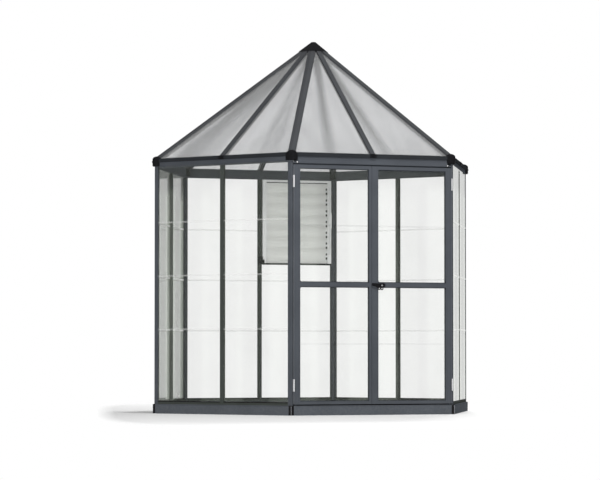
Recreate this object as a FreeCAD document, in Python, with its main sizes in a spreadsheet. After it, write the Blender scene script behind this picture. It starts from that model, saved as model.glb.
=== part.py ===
import FreeCAD, Part
import Sketcher
import os
import re

# A hexagonal greenhouse. The origin is the centre of the base's underside, +Z is up and the doors face -Y.
# Each wall is drawn as the front wall and turned about Z, and each corner as one that points along -Y.

Vector = FreeCAD.Vector
Placement = FreeCAD.Placement
Rotation = FreeCAD.Rotation

X_AXIS = Vector(1, 0, 0)
Y_AXIS = Vector(0, 1, 0)
Z_AXIS = Vector(0, 0, 1)

WALLS = range(6)
FRONT_WALL = 0
BACK_WALL = 3
GLAZED_WALLS = [wall for wall in WALLS if wall != FRONT_WALL]
BAYS = (-1, 1)
LOUVRE_BAY = -1
BLADE_COUNT = 7
DRIVEN_SIDE = -1

# Driving dimensions, in millimetres and degrees.
SIZES = {
    # Base
    "base_across_corners": 2430,
    "base_height": 66,
    "base_sheet": 2,
    "base_top_flange": 40,
    "base_foot_flange": 62,
    "connector_face": 16,
    "connector_depth": 48,
    "anchor_hole_diameter": 9,
    "anchor_hole_inset": 52,
    # Wall profiles and panes
    "wall_setback": 10,
    "profile_wall": 2,
    "pane_thickness": 4,
    "pane_play": 0.2,
    "pane_lap": 7,
    "slot_end_gap": 1,
    "seat_gap": 0.3,
    "post_face": 30,
    "post_depth": 26,
    "post_rise": 12,
    "middle_post_face": 32,
    "middle_post_depth": 26,
    "sill_height": 18,
    "sill_depth": 24,
    "sill_edge": 4,
    "first_joint_height": 584,
    "top_joint_drop": 382,
    "strip_height": 10,
    "strip_flange": 1.3,
    "strip_web": 2,
    # Eaves
    "eave_height": 1710,
    "beam_lip_height": 11,
    "beam_lip_setback": 8,
    "beam_depth": 28,
    "trim_height": 26,
    "trim_rise": 11,
    "trim_projection": 8,
    "trim_sheet": 2.4,
    "corner_cap_wing": 40,
    "corner_cap_projection": 16,
    "corner_cap_height": 62,
    "corner_cap_flat": 12,
    "corner_cap_round": 5,
    "rib_foot_width": 42,
    "rib_foot_depth": 6,
    "bolt_diameter": 6,
    "bolt_head_diameter": 13,
    "bolt_head_height": 4,
    # Roof
    "roof_eave_rise": 54,
    "roof_rise": 867,
    "roof_panel_thickness": 6,
    "roof_panel_overhang": 3,
    "roof_panel_gap": 2,
    "roof_panel_top": 78,
    "hip_cap_width": 50,
    "hip_stem_width": 20,
    "hip_stem_depth": 34,
    "rib_cap_width": 34,
    "rib_stem_width": 16,
    "rib_stem_depth": 26,
    "rib_cap_thickness": 12,
    "rib_cap_setback": 1,
    "hub_radius": 64,
    "hub_drop": 30,
    "hub_rim": 2,
    "hub_shoulder": 10,
    "apex_cap_radius": 115,
    "apex_cap_thickness": 3,
    "apex_tip_radius": 16,
    "apex_boss_radius": 13,
    "apex_bolt_diameter": 10,
    "apex_bolt_head_diameter": 17,
    "apex_bolt_head_height": 7,
    "apex_bolt_engagement": 12,
    # Doorway
    "door_jamb_face": 12,
    "door_edge_gap": 3,
    "door_proud": 13,
    "door_thickness": 25,
    "door_foot_gap": 8,
    "door_head_gap": 10,
    "door_stop_gap": 1,
    "door_stop_lap": 8,
    "door_stop_sheet": 2,
    "header_drop": 8,
    "header_height": 26,
    "header_projection": 4,
    "threshold_sheet": 2,
    "threshold_projection": 8,
    "magnet_width": 30,
    "magnet_depth": 12,
    "magnet_height": 14,
    # Door leaves
    "meeting_offset": 17,
    "meeting_gap": 3,
    "hinge_stile_width": 45,
    "left_meeting_width": 16,
    "right_meeting_width": 50,
    "top_rail_height": 23,
    "bottom_rail_height": 21,
    "middle_rail_height": 31,
    "middle_rail_level": 884,
    "gusset_leg": 14,
    "gusset_waist": 5,
    "gusset_thickness": 9,
    # Hinges
    "hinge_height": 82,
    "low_hinge_rise": 129,
    "high_hinge_drop": 112,
    "knuckle_radius": 4,
    "knuckle_gap": 0.4,
    "hinge_pin_radius": 2,
    "hinge_plate": 1.2,
    "hinge_plate_reach": 8,
    "running_clearance": 0.08,
    # Handle
    "handle_inset": 25.5,
    "handle_arm": 26,
    "handle_tail": 72,
    "handle_rise": 11,
    "handle_drop": 5,
    "handle_grip_start": 8,
    "handle_grip_taper": 8,
    "handle_grip_drop": 20,
    "handle_end_half": 6,
    "handle_thickness": 12,
    "backplate_radius": 8,
    "backplate_thickness": 3,
    "spindle_radius": 4,
    "tongue_length": 47,
    "tongue_width": 14,
    "tongue_thickness": 4,
    "tongue_gap": 2,
    # Louvre
    "louvre_height": 633,
    "louvre_sill_height": 14,
    "louvre_head_height": 20,
    "louvre_jamb_width": 30,
    "louvre_depth": 28,
    "louvre_web": 4,
    "louvre_flange": 2,
    "first_blade_rise": 70,
    "last_blade_drop": 77,
    "blade_overlap": 27,
    "blade_thickness": 4,
    "blade_tilt": 5,
    "pivot_radius": 3,
    "clip_length": 12,
    "clip_plate": 3,
    "clip_height": 60,
    "clip_thickness": 10,
    "clip_gap": 0.5,
    "crank_radius": 34,
    "crank_angle": 40,
    "crank_width": 10,
    "crank_pin_radius": 2,
    "link_thickness": 5,
    "link_width": 12,
    "link_overrun": 10,
    "lever_width": 20,
    "lever_length": 113,
    "lever_depth": 12,
}

# Values that follow from the driving dimensions.
LAYOUT = {
    "base_corner": "base_across_corners / 2",
    "base_apothem": "base_corner * cos(30)",
    "base_half": "base_corner / 2",
    "wall_apothem": "base_apothem - wall_setback",
    "wall_corner": "wall_apothem / cos(30)",
    "wall_half": "wall_corner / 2",
    "bay_end": "wall_half - post_face",
    "slot_width": "pane_thickness + 2 * pane_play",
    "slot_depth": "pane_lap + slot_end_gap",
    "slot_back": "profile_wall + slot_width",
    "post_core": "post_face - slot_depth",
    "post_top": "eave_height + post_rise",
    "middle_half": "middle_post_face / 2",
    "middle_web": "middle_half - slot_depth",
    "sill_top": "base_height + sill_height",
    "lip_top": "eave_height + beam_lip_height",
    "pane_bottom": "sill_top - pane_lap",
    "pane_top": "lip_top - slot_end_gap",
    "joint_pitch": "(eave_height - first_joint_height - top_joint_drop) / 2",
    "joint_half_gap": "strip_web / 2 + pane_play",
    "roof_eave_height": "eave_height + roof_eave_rise",
    "roof_peak_height": "roof_eave_height + roof_rise",
    "trim_top_height": "roof_eave_height + trim_rise",
    "roof_slope": "roof_rise / wall_apothem",
    "roof_pitch": "atan(roof_slope)",
    "hip_pitch": "atan(roof_slope * cos(30))",
    "hip_fall": "roof_slope * cos(hip_pitch) / 2",
    "hip_lift": "sqrt(1 + hip_fall * hip_fall)",
    "panel_drop": "roof_panel_thickness / cos(roof_pitch)",
    "beam_top": "roof_eave_height - panel_drop - seat_gap",
    "hood_gap": "roof_panel_overhang + seat_gap",
    "rib_end": "wall_apothem + roof_panel_overhang - rib_cap_setback - rib_cap_thickness * sin(roof_pitch)",
    "hip_end": "(rib_end - hip_cap_width / 4) / cos(30)",
    "hip_start": "hub_radius + seat_gap + hip_stem_depth * sin(hip_pitch)",
    "rib_start": "hub_radius + seat_gap + rib_stem_depth * sin(roof_pitch)",
    "hip_foot": "roof_peak_height - hip_end * tan(hip_pitch) - hip_stem_depth * cos(hip_pitch)",
    "hub_level": "roof_peak_height - hip_start * tan(hip_pitch) - hip_stem_depth * cos(hip_pitch)",
    "hub_top": "hub_level + hub_rim + hub_shoulder",
    "hub_shoulder_radius": "hub_radius + hub_shoulder * tan(hip_pitch)",
    "cap_lift": "(rib_cap_thickness + 2 * seat_gap) / cos(roof_pitch)",
    "cap_inner_peak": "roof_peak_height + cap_lift",
    "cap_outer_peak": "cap_inner_peak + apex_cap_thickness / cos(roof_pitch)",
    "cap_rim": "cap_outer_peak - apex_cap_radius * tan(hip_pitch)",
    "cap_tip": "cap_outer_peak - apex_tip_radius * tan(hip_pitch)",
    "cap_roof": "cap_tip - 2 * apex_cap_thickness",
    "door_front": "-door_proud",
    "door_back": "door_thickness - door_proud",
    "stop_face": "door_back + door_stop_gap",
    "jamb_edge": "wall_half - door_jamb_face",
    "stop_edge": "wall_half - post_core",
    "leaf_edge": "jamb_edge - door_edge_gap",
    "header_bottom": "eave_height - header_drop",
    "door_bottom": "base_height + door_foot_gap",
    "door_top": "header_bottom - door_head_gap",
    "leaf_pane_depth": "(door_front + door_back) / 2",
    "middle_rail_bottom": "middle_rail_level - middle_rail_height / 2",
    "middle_rail_top": "middle_rail_level + middle_rail_height / 2",
    "low_hinge_level": "door_bottom + low_hinge_rise",
    "high_hinge_level": "door_top - high_hinge_drop",
    "hinge_axis": "leaf_edge + door_edge_gap / 2",
    "hinge_depth": "door_front - knuckle_radius - seat_gap",
    "knuckle_length": "(hinge_height - 2 * knuckle_gap) / 3",
    "hinge_bore": "hinge_pin_radius + running_clearance",
    "handle_pivot": "handle_inset + meeting_gap / 2 - meeting_offset",
    "handle_back": "door_front - backplate_thickness - seat_gap",
    "tongue_front": "door_back + tongue_gap",
    "tongue_back": "tongue_front + tongue_thickness",
    "louvre_outer": "bay_end - seat_gap",
    "louvre_inner": "middle_half + seat_gap",
    "louvre_top": "eave_height",
    "louvre_bottom": "louvre_top - louvre_height",
    "first_pivot_level": "louvre_bottom + first_blade_rise",
    "blade_pitch": f"(louvre_height - first_blade_rise - last_blade_drop) / {BLADE_COUNT - 1}",
    "blade_height": "blade_pitch + blade_overlap",
    "louvre_axis": "louvre_depth / 2",
    "louvre_width": "louvre_outer - louvre_inner",
    "clip_span": "louvre_width - 2 * louvre_jamb_width - 2 * clip_gap",
    "louvre_middle": "(louvre_outer + louvre_inner) / 2",
    "blade_length": "clip_span - 2 * clip_plate - 2 * seat_gap",
    "clip_slot": "blade_thickness + 2 * pane_play",
    "crank_rise": "crank_radius * sin(crank_angle - blade_tilt)",
    "crank_reach": "crank_radius * cos(crank_angle - blade_tilt)",
}

document = FreeCAD.newDocument("hexagonal_greenhouse")
sizes = document.addObject("Spreadsheet::Sheet", "sizes")
for row, (alias, size) in enumerate(SIZES.items(), start=1):
    sizes.set(f"A{row}", alias)
    sizes.set(f"B{row}", str(size))
    sizes.setAlias(f"B{row}", alias)
layout = document.addObject("Spreadsheet::Sheet", "layout")


def bound(formula):
    """Return a formula with each named value pointed at the sheet that holds it."""
    def point(match):
        word = match.group(0)
        if word in SIZES:
            return f"sizes.{word}"
        if word in LAYOUT:
            return f"layout.{word}"
        return word
    return re.sub(r"[a-z_]+", point, str(formula))


for row, (alias, formula) in enumerate(LAYOUT.items(), start=1):
    layout.set(f"A{row}", alias)
    layout.set(f"B{row}", "=" + bound(formula))
    layout.setAlias(f"B{row}", alias)
document.recompute()

sub_parts = []


def number(formula):
    """Return the present value of a formula."""
    value = sizes.evalExpression(bound(formula))
    return float(getattr(value, "Value", value))


def point_at(x, y, z):
    """Return the point whose coordinates are three formulas."""
    return Vector(number(x), number(y), number(z))


def turned(angle, placement=Placement()):
    """Return a placement turned about the vertical axis."""
    return Placement(Vector(), Rotation(Z_AXIS, angle)).multiply(placement)


def wall_turn(wall, placement=Placement()):
    """Return a front-wall placement moved to another wall."""
    return turned(60 * wall, placement)


def corner_turn(corner, placement=Placement()):
    """Return a placement moved from -Y to a corner, counted from the front left one."""
    return turned(60 * corner - 30, placement)


def keep(piece, label):
    """Give a finished piece its label and list it as a sub-part."""
    piece.Label = label
    sub_parts.append(piece)
    return piece


def grouped(label, pieces):
    """Keep separate pieces together under one label."""
    group = document.addObject("Part::Compound", label)
    group.Links = pieces
    return keep(group, label)


def copies(label, piece, placements):
    """Return links to one piece, each moved from where the piece stands by a placement."""
    links = []
    for count, placement in enumerate(placements, start=1):
        link = document.addObject("App::Link", f"{label}_{count}")
        link.LinkedObject = piece
        link.LinkTransform = True
        link.Placement = placement
        links.append(link)
    return links


def repeated(label, piece, placements):
    """Keep copies of one piece as a group."""
    return grouped(label, copies(label, piece, placements))


def new_sketch(body, name, role, height="0"):
    """Start a sketch on one of a body's own origin planes, lifted along its normal."""
    sketch = body.newObject("Sketcher::SketchObject", name)
    plane = next(item for item in body.Origin.OriginFeatures if item.Role == role)
    sketch.AttachmentSupport = [(plane, "")]
    sketch.MapMode = "FlatFace"
    sketch.setExpression("AttachmentOffset.Base.z", bound(height))
    return sketch


def fix_point(sketch, geometry, position, corner):
    """Bind one point of a sketch to a pair of formulas."""
    for kind, formula in zip(("DistanceX", "DistanceY"), corner):
        index = sketch.addConstraint(Sketcher.Constraint(kind, geometry, position, number(formula)))
        sketch.setExpression(f"Constraints[{index}]", bound(formula))


def draw_polygon(sketch, corners):
    """Draw a closed outline whose corners are pairs of formulas."""
    first = sketch.GeometryCount
    count = len(corners)
    points = [point_at(x, y, "0") for x, y in corners]
    edges = [Part.LineSegment(points[i], points[(i + 1) % count]) for i in range(count)]
    sketch.addGeometry(edges, False)
    joins = [
        Sketcher.Constraint("Coincident", first + i, 2, first + (i + 1) % count, 1) for i in range(count)
    ]
    sketch.addConstraint(joins)
    for i, corner in enumerate(corners):
        fix_point(sketch, first + i, 1, corner)


def draw_circle(sketch, centre, radius):
    """Draw a circle bound to its centre and radius."""
    circle = Part.Circle(point_at(*centre, "0"), Z_AXIS, number(radius))
    geometry = sketch.addGeometry(circle, False)
    fix_point(sketch, geometry, 3, centre)
    index = sketch.addConstraint(Sketcher.Constraint("Radius", geometry, number(radius)))
    sketch.setExpression(f"Constraints[{index}]", bound(radius))


def add_pad(body, sketch, length, symmetric=False):
    """Pad a sketch along its normal, or half each way."""
    pad = body.newObject("PartDesign::Pad", f"{sketch.Name}_pad")
    pad.Profile = sketch
    pad.setExpression("Length", bound(length))
    if symmetric:
        pad.SideType = "Symmetric"
    return pad


def add_through_cut(body, sketch):
    """Cut a sketch through the whole body, both ways."""
    document.recompute()
    before = body.Shape.Volume
    pocket = body.newObject("PartDesign::Pocket", f"{sketch.Name}_cut")
    pocket.Profile = sketch
    pocket.Type = "ThroughAll"
    pocket.SideType = "Symmetric"
    document.recompute()
    if body.Shape.Volume >= before:
        raise RuntimeError(f"{sketch.Name} cuts nothing")
    return pocket


def new_extrusion(name, role, outlines, length, symmetric=False, height="0"):
    """Return a body padded from one or more closed outlines, the later ones being voids."""
    body = document.addObject("PartDesign::Body", name)
    sketch = new_sketch(body, f"{name}_section", role, height)
    for outline in outlines:
        draw_polygon(sketch, outline)
    add_pad(body, sketch, length, symmetric)
    return body


def upright(name, outlines, bottom, top):
    """Return a vertical extrusion drawn in plan."""
    return new_extrusion(name, "XY_Plane", outlines, f"({top}) - ({bottom})", height=bottom)


def run_along_wall(name, outlines, length):
    """Return an extrusion along the front wall, drawn in its cross-section and centred on it."""
    return new_extrusion(name, "YZ_Plane", outlines, length, symmetric=True)


def new_box(name, low, high):
    """Return a box between two corners given as formulas."""
    box = document.addObject("Part::Box", name)
    for side, start, end in zip(("Length", "Width", "Height"), low, high):
        box.setExpression(side, bound(f"({end}) - ({start})"))
    for axis, start in zip("xyz", low):
        box.setExpression(f"Placement.Base.{axis}", bound(start))
    return box


def new_rod(name, start, radius, length, direction=Z_AXIS):
    """Return a round rod from a start point along a direction."""
    rod = document.addObject("Part::Cylinder", name)
    rod.setExpression("Radius", bound(radius))
    rod.setExpression("Height", bound(length))
    rod.Placement = Placement(Vector(), Rotation(Z_AXIS, direction))
    for axis, coordinate in zip("xyz", start):
        rod.setExpression(f"Placement.Base.{axis}", bound(coordinate))
    return rod


def fused(name, pieces):
    """Return one solid made of several pieces."""
    fuse = document.addObject("Part::MultiFuse", name)
    fuse.Shapes = pieces
    return fuse


def cut_from(name, base, tool):
    """Return a piece with another cut out of it."""
    cut = document.addObject("Part::Cut", name)
    cut.Base = base
    cut.Tool = tool
    return cut


def inward(depth):
    """Return the Y formula of a depth behind the front wall's plane."""
    return f"-wall_apothem + ({depth})"


def wall_section(corners):
    """Return a cross-section of a wall member from pairs of depth and height."""
    return [(inward(depth), height) for depth, height in corners]


def corner_outline(right, left):
    """Return an outline about a corner from distances along each wall and depths behind it."""
    def place(along, depth, side):
        x = f"{side} * (({along}) * cos(30) - ({depth}) * sin(30))"
        y = f"({along}) * sin(30) + ({depth}) * cos(30) - wall_corner"
        return x, y
    points = [place(along, depth, 1) for along, depth in right]
    points += [place(along, depth, -1) for along, depth in reversed(left)]
    return points


# Base: folded steel rails with mitred ends, and a moulded connector at each corner.

def make_base():
    outer = "-base_apothem"
    section = [
        (outer, "0"),
        (f"{outer} + base_foot_flange", "0"),
        (f"{outer} + base_foot_flange", "base_sheet"),
        (f"{outer} + base_sheet", "base_sheet"),
        (f"{outer} + base_sheet", "base_height - base_sheet"),
        (f"{outer} + base_top_flange", "base_height - base_sheet"),
        (f"{outer} + base_top_flange", "base_height"),
        (outer, "base_height"),
    ]
    rail_end = "base_half - connector_face - seat_gap"
    rail = run_along_wall("base_rail", [section], f"2 * ({rail_end})")
    mitre = new_sketch(rail, "base_rail_mitre", "XY_Plane")
    for side in (-1, 1):
        draw_polygon(mitre, [
            (f"{side} * ({rail_end})", outer),
            (f"{side} * ({rail_end} - base_foot_flange * tan(30))", f"{outer} + base_foot_flange"),
            (f"{side} * ({rail_end})", f"{outer} + base_foot_flange"),
        ])
    add_through_cut(rail, mitre)
    anchor = new_sketch(rail, "base_rail_anchor", "XY_Plane")
    draw_circle(anchor, ("0", f"{outer} + anchor_hole_inset"), "anchor_hole_diameter / 2")
    add_through_cut(rail, anchor)
    repeated("base_rails", rail, [wall_turn(wall) for wall in WALLS])

    face = ("connector_face * cos(30)", "connector_face * sin(30) - base_corner")
    back = ("connector_face * cos(30)", "connector_face * sin(30) + connector_depth - base_corner")
    outline = [("0", "-base_corner"), face, back, (f"-{back[0]}", back[1]), (f"-{face[0]}", face[1])]
    connector = upright("base_connector", [outline], "0", "base_height")
    repeated("base_corner_connectors", connector, [corner_turn(corner) for corner in WALLS])


# Wall posts: hollow profiles with a slot along each glazed edge.

def make_posts():
    glazed = [
        ("post_face", "0"),
        ("post_face", "profile_wall"),
        ("post_core", "profile_wall"),
        ("post_core", "slot_back"),
        ("post_face", "slot_back"),
        ("post_face", "slot_back + profile_wall"),
        ("post_core", "slot_back + profile_wall"),
        ("post_core", "post_depth"),
    ]
    jamb = [
        ("door_jamb_face", "0"),
        ("door_jamb_face", "stop_face"),
        ("post_core", "stop_face"),
        ("post_core", "post_depth"),
    ]
    glazed_void = [
        ("post_core - profile_wall", "profile_wall"),
        ("post_core - profile_wall", "post_depth - profile_wall"),
    ]
    jamb_void = [
        ("door_jamb_face - profile_wall", "profile_wall"),
        ("door_jamb_face - profile_wall", "stop_face + profile_wall"),
        ("post_core - profile_wall", "stop_face + profile_wall"),
        ("post_core - profile_wall", "post_depth - profile_wall"),
    ]
    tip = [("0", "-wall_corner")]
    void_tip = [("0", "profile_wall / cos(30) - wall_corner")]

    def post(name, right, left, right_void, left_void):
        outer = tip + corner_outline(right, left)
        void = void_tip + corner_outline(right_void, left_void)
        return upright(name, [outer, void], "base_height", "post_top")

    plain = post("corner_post", glazed, glazed, glazed_void, glazed_void)
    repeated("corner_posts", plain, [corner_turn(corner) for corner in range(2, 6)])
    left_post = post("left_post", jamb, glazed, jamb_void, glazed_void)
    left_post.Placement = corner_turn(0)
    keep(left_post, "left_door_post")
    right_post = post("right_post", glazed, jamb, glazed_void, jamb_void)
    right_post.Placement = corner_turn(1)
    keep(right_post, "right_door_post")

    half = [
        ("middle_half", "0"),
        ("middle_half", "profile_wall"),
        ("middle_web", "profile_wall"),
        ("middle_web", "slot_back"),
        ("middle_half", "slot_back"),
        ("middle_half", "slot_back + profile_wall"),
        ("middle_web + profile_wall", "slot_back + profile_wall"),
        ("middle_web + profile_wall", "middle_post_depth"),
    ]
    outline = [(x, inward(depth)) for x, depth in half]
    outline += [(f"-({x})", inward(depth)) for x, depth in reversed(half)]
    void_half = "middle_web - profile_wall"
    void = [
        (f"-({void_half})", inward("profile_wall")),
        (void_half, inward("profile_wall")),
        (void_half, inward("middle_post_depth - profile_wall")),
        (f"-({void_half})", inward("middle_post_depth - profile_wall")),
    ]
    middle = upright("middle_post", [outline, void], "sill_top", "eave_height")
    repeated("middle_posts", middle, [wall_turn(wall) for wall in GLAZED_WALLS])


# Sills below the panes, eave beams above them, and the gutter trim along the eaves.

def make_rails():
    sill = wall_section([
        ("0", "base_height"),
        ("sill_depth", "base_height"),
        ("sill_depth", "base_height + sill_edge"),
        ("slot_back + profile_wall", "sill_top"),
        ("slot_back", "sill_top"),
        ("slot_back", "sill_top - slot_depth"),
        ("profile_wall", "sill_top - slot_depth"),
        ("profile_wall", "sill_top"),
        ("0", "sill_top"),
    ])
    sill_rail = run_along_wall("sill_rail", [sill], "2 * bay_end")
    repeated("sill_rails", sill_rail, [wall_turn(wall) for wall in GLAZED_WALLS])

    beam = wall_section([
        ("beam_lip_setback", "eave_height"),
        ("beam_depth", "eave_height"),
        ("beam_depth", "beam_top + beam_depth * roof_slope"),
        ("0", "beam_top"),
        ("0", "lip_top"),
        ("beam_lip_setback", "lip_top"),
    ])
    skin = "profile_wall / cos(roof_pitch)"
    void = wall_section([
        ("beam_lip_setback + profile_wall", "eave_height + profile_wall"),
        ("beam_depth - profile_wall", "eave_height + profile_wall"),
        ("beam_depth - profile_wall", f"beam_top + (beam_depth - profile_wall) * roof_slope - {skin}"),
        ("profile_wall", f"beam_top + profile_wall * roof_slope - {skin}"),
        ("profile_wall", "lip_top + profile_wall"),
        ("beam_lip_setback + profile_wall", "lip_top + profile_wall"),
    ])
    eave_beam = run_along_wall("eave_beam", [beam, void], "2 * bay_end")
    repeated("eave_beams", eave_beam, [wall_turn(wall) for wall in WALLS])

    bottom = "trim_top_height - trim_height"
    trim = wall_section([
        ("0", bottom),
        ("0", f"{bottom} + trim_sheet"),
        ("trim_sheet - trim_projection", f"{bottom} + trim_sheet"),
        ("trim_sheet - trim_projection", "trim_top_height"),
        ("-trim_projection", "trim_top_height"),
        ("-trim_projection", bottom),
    ])
    gutter = run_along_wall("gutter_trim", [trim], "2 * (wall_half - corner_cap_wing - seat_gap)")
    repeated("gutter_trims", gutter, [wall_turn(wall) for wall in WALLS])


# Eave corner caps: a moulded hood outside the gutter, on a block that stands on the post.

def make_corner_caps():
    flat_half = "corner_cap_flat / 2"
    flat_depth = "corner_cap_projection / cos(30)"
    flat_y = f"{flat_half} * tan(30) - {flat_depth} - wall_corner"
    wing_end = [("corner_cap_wing", "-corner_cap_projection"), ("corner_cap_wing", "-hood_gap")]
    hood = [(flat_half, flat_y)] + corner_outline(wing_end, [])
    hood += [("0", "-hood_gap / cos(30) - wall_corner")]
    hood += [(f"-({x})", y) for x, y in reversed(corner_outline(wing_end, []))]
    hood += [(f"-({flat_half})", flat_y)]
    cap = upright("corner_cap", [hood], "post_top", "post_top + corner_cap_height")
    core = [("post_face - seat_gap", "-hood_gap"), ("post_face - seat_gap", "post_depth")]
    seat = new_sketch(cap, "corner_cap_seat", "XY_Plane", "post_top")
    draw_polygon(seat, [("0", "-hood_gap / cos(30) - wall_corner")] + corner_outline(core, core))
    add_pad(cap, seat, "hip_foot - seat_gap - post_top")
    document.recompute()
    wing_reach = number("corner_cap_wing * cos(30) + corner_cap_projection * sin(30)")
    flat_reach = number(flat_y)

    def on_rim(edge):
        on_flat = [abs(vertex.Y - flat_reach) < 0.01 for vertex in edge.Vertexes]
        on_wing = [abs(abs(vertex.X) - wing_reach) < 0.01 for vertex in edge.Vertexes]
        return any(on_flat) and all(flat or wing for flat, wing in zip(on_flat, on_wing))

    rim = [f"Edge{count}" for count, edge in enumerate(cap.Shape.Edges, start=1) if on_rim(edge)]
    moulded = cap.Tip
    rounded = cap.newObject("PartDesign::Fillet", "corner_cap_rounding")
    rounded.Base = (moulded, rim)
    rounded.setExpression("Radius", bound("corner_cap_round"))
    repeated("eave_corner_caps", cap, [corner_turn(corner) for corner in WALLS])
    return flat_y


# Wall panes, stacked in each bay between a middle post and a corner post, with strips over their joints.

def joint_level(count):
    return f"(first_joint_height + {count} * joint_pitch)"


def make_wall_panes():
    joints = [joint_level(count) for count in range(3)]
    edges = ["pane_bottom"] + joints + ["pane_top"]
    front = inward("profile_wall + pane_play")
    back = inward("profile_wall + pane_play + pane_thickness")

    def pane(bay, bottom, top):
        left, right = ("middle_web + slot_end_gap", "bay_end + pane_lap")
        if bay < 0:
            left, right = (f"-({right})", f"-({left})")
        low = bottom if bottom == "pane_bottom" else f"{bottom} + joint_half_gap"
        high = f"{top} - joint_half_gap" if top in joints else top
        return new_box("bay_pane", (left, front, low), (right, back, high))

    full = {bay: [pane(bay, edges[i], edges[i + 1]) for i in range(4)] for bay in BAYS}
    short = pane(LOUVRE_BAY, joints[1], "louvre_bottom - seat_gap")
    strip_front = "profile_wall - strip_flange"
    strip_back = "slot_back + strip_flange"
    reach = "strip_height / 2"
    web = "strip_web / 2"
    section = wall_section([
        (strip_front, f"-{reach}"), ("profile_wall", f"-{reach}"), ("profile_wall", f"-{web}"),
        ("slot_back", f"-{web}"), ("slot_back", f"-{reach}"), (strip_back, f"-{reach}"),
        (strip_back, reach), ("slot_back", reach), ("slot_back", web),
        ("profile_wall", web), ("profile_wall", reach), (strip_front, reach),
    ])
    strip = run_along_wall("wall_strip", [section], "bay_end - middle_half - 2 * seat_gap")
    bay_middle = number("(bay_end + middle_half) / 2")

    panes = []
    strips = []
    for wall in GLAZED_WALLS:
        for bay in BAYS:
            louvred = wall == BACK_WALL and bay == LOUVRE_BAY
            stack = full[bay][:2] + [short] if louvred else full[bay]
            levels = joints[:2] if louvred else joints
            for piece in stack:
                panes += copies("wall_pane", piece, [wall_turn(wall)])
            for level in levels:
                place = Placement(Vector(bay * bay_middle, 0, number(level)), Rotation())
                strips += copies("wall_strip", strip, [wall_turn(wall, place)])
    grouped("wall_panes", panes)
    grouped("wall_pane_strips", strips)


# Roof: hip ribs over the corners, middle ribs between them, and two panels on each side.

def rib_placement(start, pitch):
    base = point_at("0", f"-({start})", f"roof_peak_height - ({start}) * tan({pitch})")
    return Placement(base, Rotation(X_AXIS, 90 + number(pitch)))


def make_ribs():
    def chevron(x, lift):
        return f"({lift}) * hip_lift - ({x}) * hip_fall"

    edge = "hip_cap_width / 2"
    stem = "hip_stem_width / 2"
    top = "seat_gap + rib_cap_thickness"
    half = [
        (stem, "-hip_stem_depth"),
        (stem, chevron(stem, "seat_gap")),
        (edge, chevron(edge, "seat_gap")),
        (edge, chevron(edge, top)),
    ]
    outline = half + [("0", chevron("0", top))] + [(f"-({x})", y) for x, y in reversed(half)]
    void_side = "hip_stem_width / 2 - profile_wall"
    void = [
        (f"-({void_side})", "profile_wall - hip_stem_depth"),
        (void_side, "profile_wall - hip_stem_depth"),
        (void_side, f"-({stem}) * hip_fall"),
        (f"-({void_side})", f"-({stem}) * hip_fall"),
    ]
    hip = new_extrusion("hip_rib", "XY_Plane", [outline, void], "(hip_end - hip_start) / cos(hip_pitch)")
    hip_place = rib_placement("hip_start", "hip_pitch")
    repeated("hip_ribs", hip, [corner_turn(corner, hip_place) for corner in WALLS])

    cap = [
        ("-rib_cap_width / 2", "seat_gap"),
        ("rib_cap_width / 2", "seat_gap"),
        ("rib_cap_width / 2", top),
        ("-rib_cap_width / 2", top),
    ]
    rib = new_extrusion("middle_rib", "XY_Plane", [cap], "(rib_end - rib_start) / cos(roof_pitch)")
    stem_sketch = new_sketch(rib, "middle_rib_stem", "XY_Plane")
    draw_polygon(stem_sketch, [
        ("-rib_stem_width / 2", "-rib_stem_depth"),
        ("rib_stem_width / 2", "-rib_stem_depth"),
        ("rib_stem_width / 2", "seat_gap"),
        ("-rib_stem_width / 2", "seat_gap"),
    ])
    draw_polygon(stem_sketch, [
        ("profile_wall - rib_stem_width / 2", "profile_wall - rib_stem_depth"),
        ("rib_stem_width / 2 - profile_wall", "profile_wall - rib_stem_depth"),
        ("rib_stem_width / 2 - profile_wall", "-profile_wall"),
        ("profile_wall - rib_stem_width / 2", "-profile_wall"),
    ])
    add_pad(rib, stem_sketch, "(wall_apothem - beam_depth - seat_gap - rib_start) / cos(roof_pitch)")
    rib_place = rib_placement("rib_start", "roof_pitch")
    repeated("middle_ribs", rib, [wall_turn(wall, rib_place) for wall in WALLS])


def make_roof_panels():
    hip_gap = "(hip_stem_width / 2 + roof_panel_gap) * hip_lift"
    hip_slant = "sqrt(1 + (cos(roof_pitch) * tan(30)) ^ 2)"
    inner = "rib_stem_width / 2 + roof_panel_gap"
    low = "wall_apothem + roof_panel_overhang"
    high = "roof_panel_top"

    def beside_hip(apothem):
        return f"({apothem}) * tan(30) - {hip_gap} * {hip_slant}"

    def slope_length(apothem):
        return f"(wall_apothem - ({apothem})) / cos(roof_pitch)"

    panels = []
    seat = Placement(
        point_at("0", "-wall_apothem", "roof_eave_height"), Rotation(X_AXIS, number("roof_pitch"))
    ).multiply(Placement(Vector(0, 0, -number("roof_panel_thickness")), Rotation()))
    for side in BAYS:
        outline = [
            (f"{side} * ({inner})", slope_length(low)),
            (f"{side} * ({beside_hip(low)})", slope_length(low)),
            (f"{side} * ({beside_hip(high)})", slope_length(high)),
            (f"{side} * ({inner})", slope_length(high)),
        ]
        name = "right_roof_panel" if side > 0 else "left_roof_panel"
        panel = new_extrusion(name, "XY_Plane", [outline], "roof_panel_thickness")
        panels += copies(name, panel, [wall_turn(wall, seat) for wall in WALLS])
    grouped("roof_panels", panels)


# Rib feet on the gutter trim, and the bolts that hold them and the corner caps.

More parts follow.
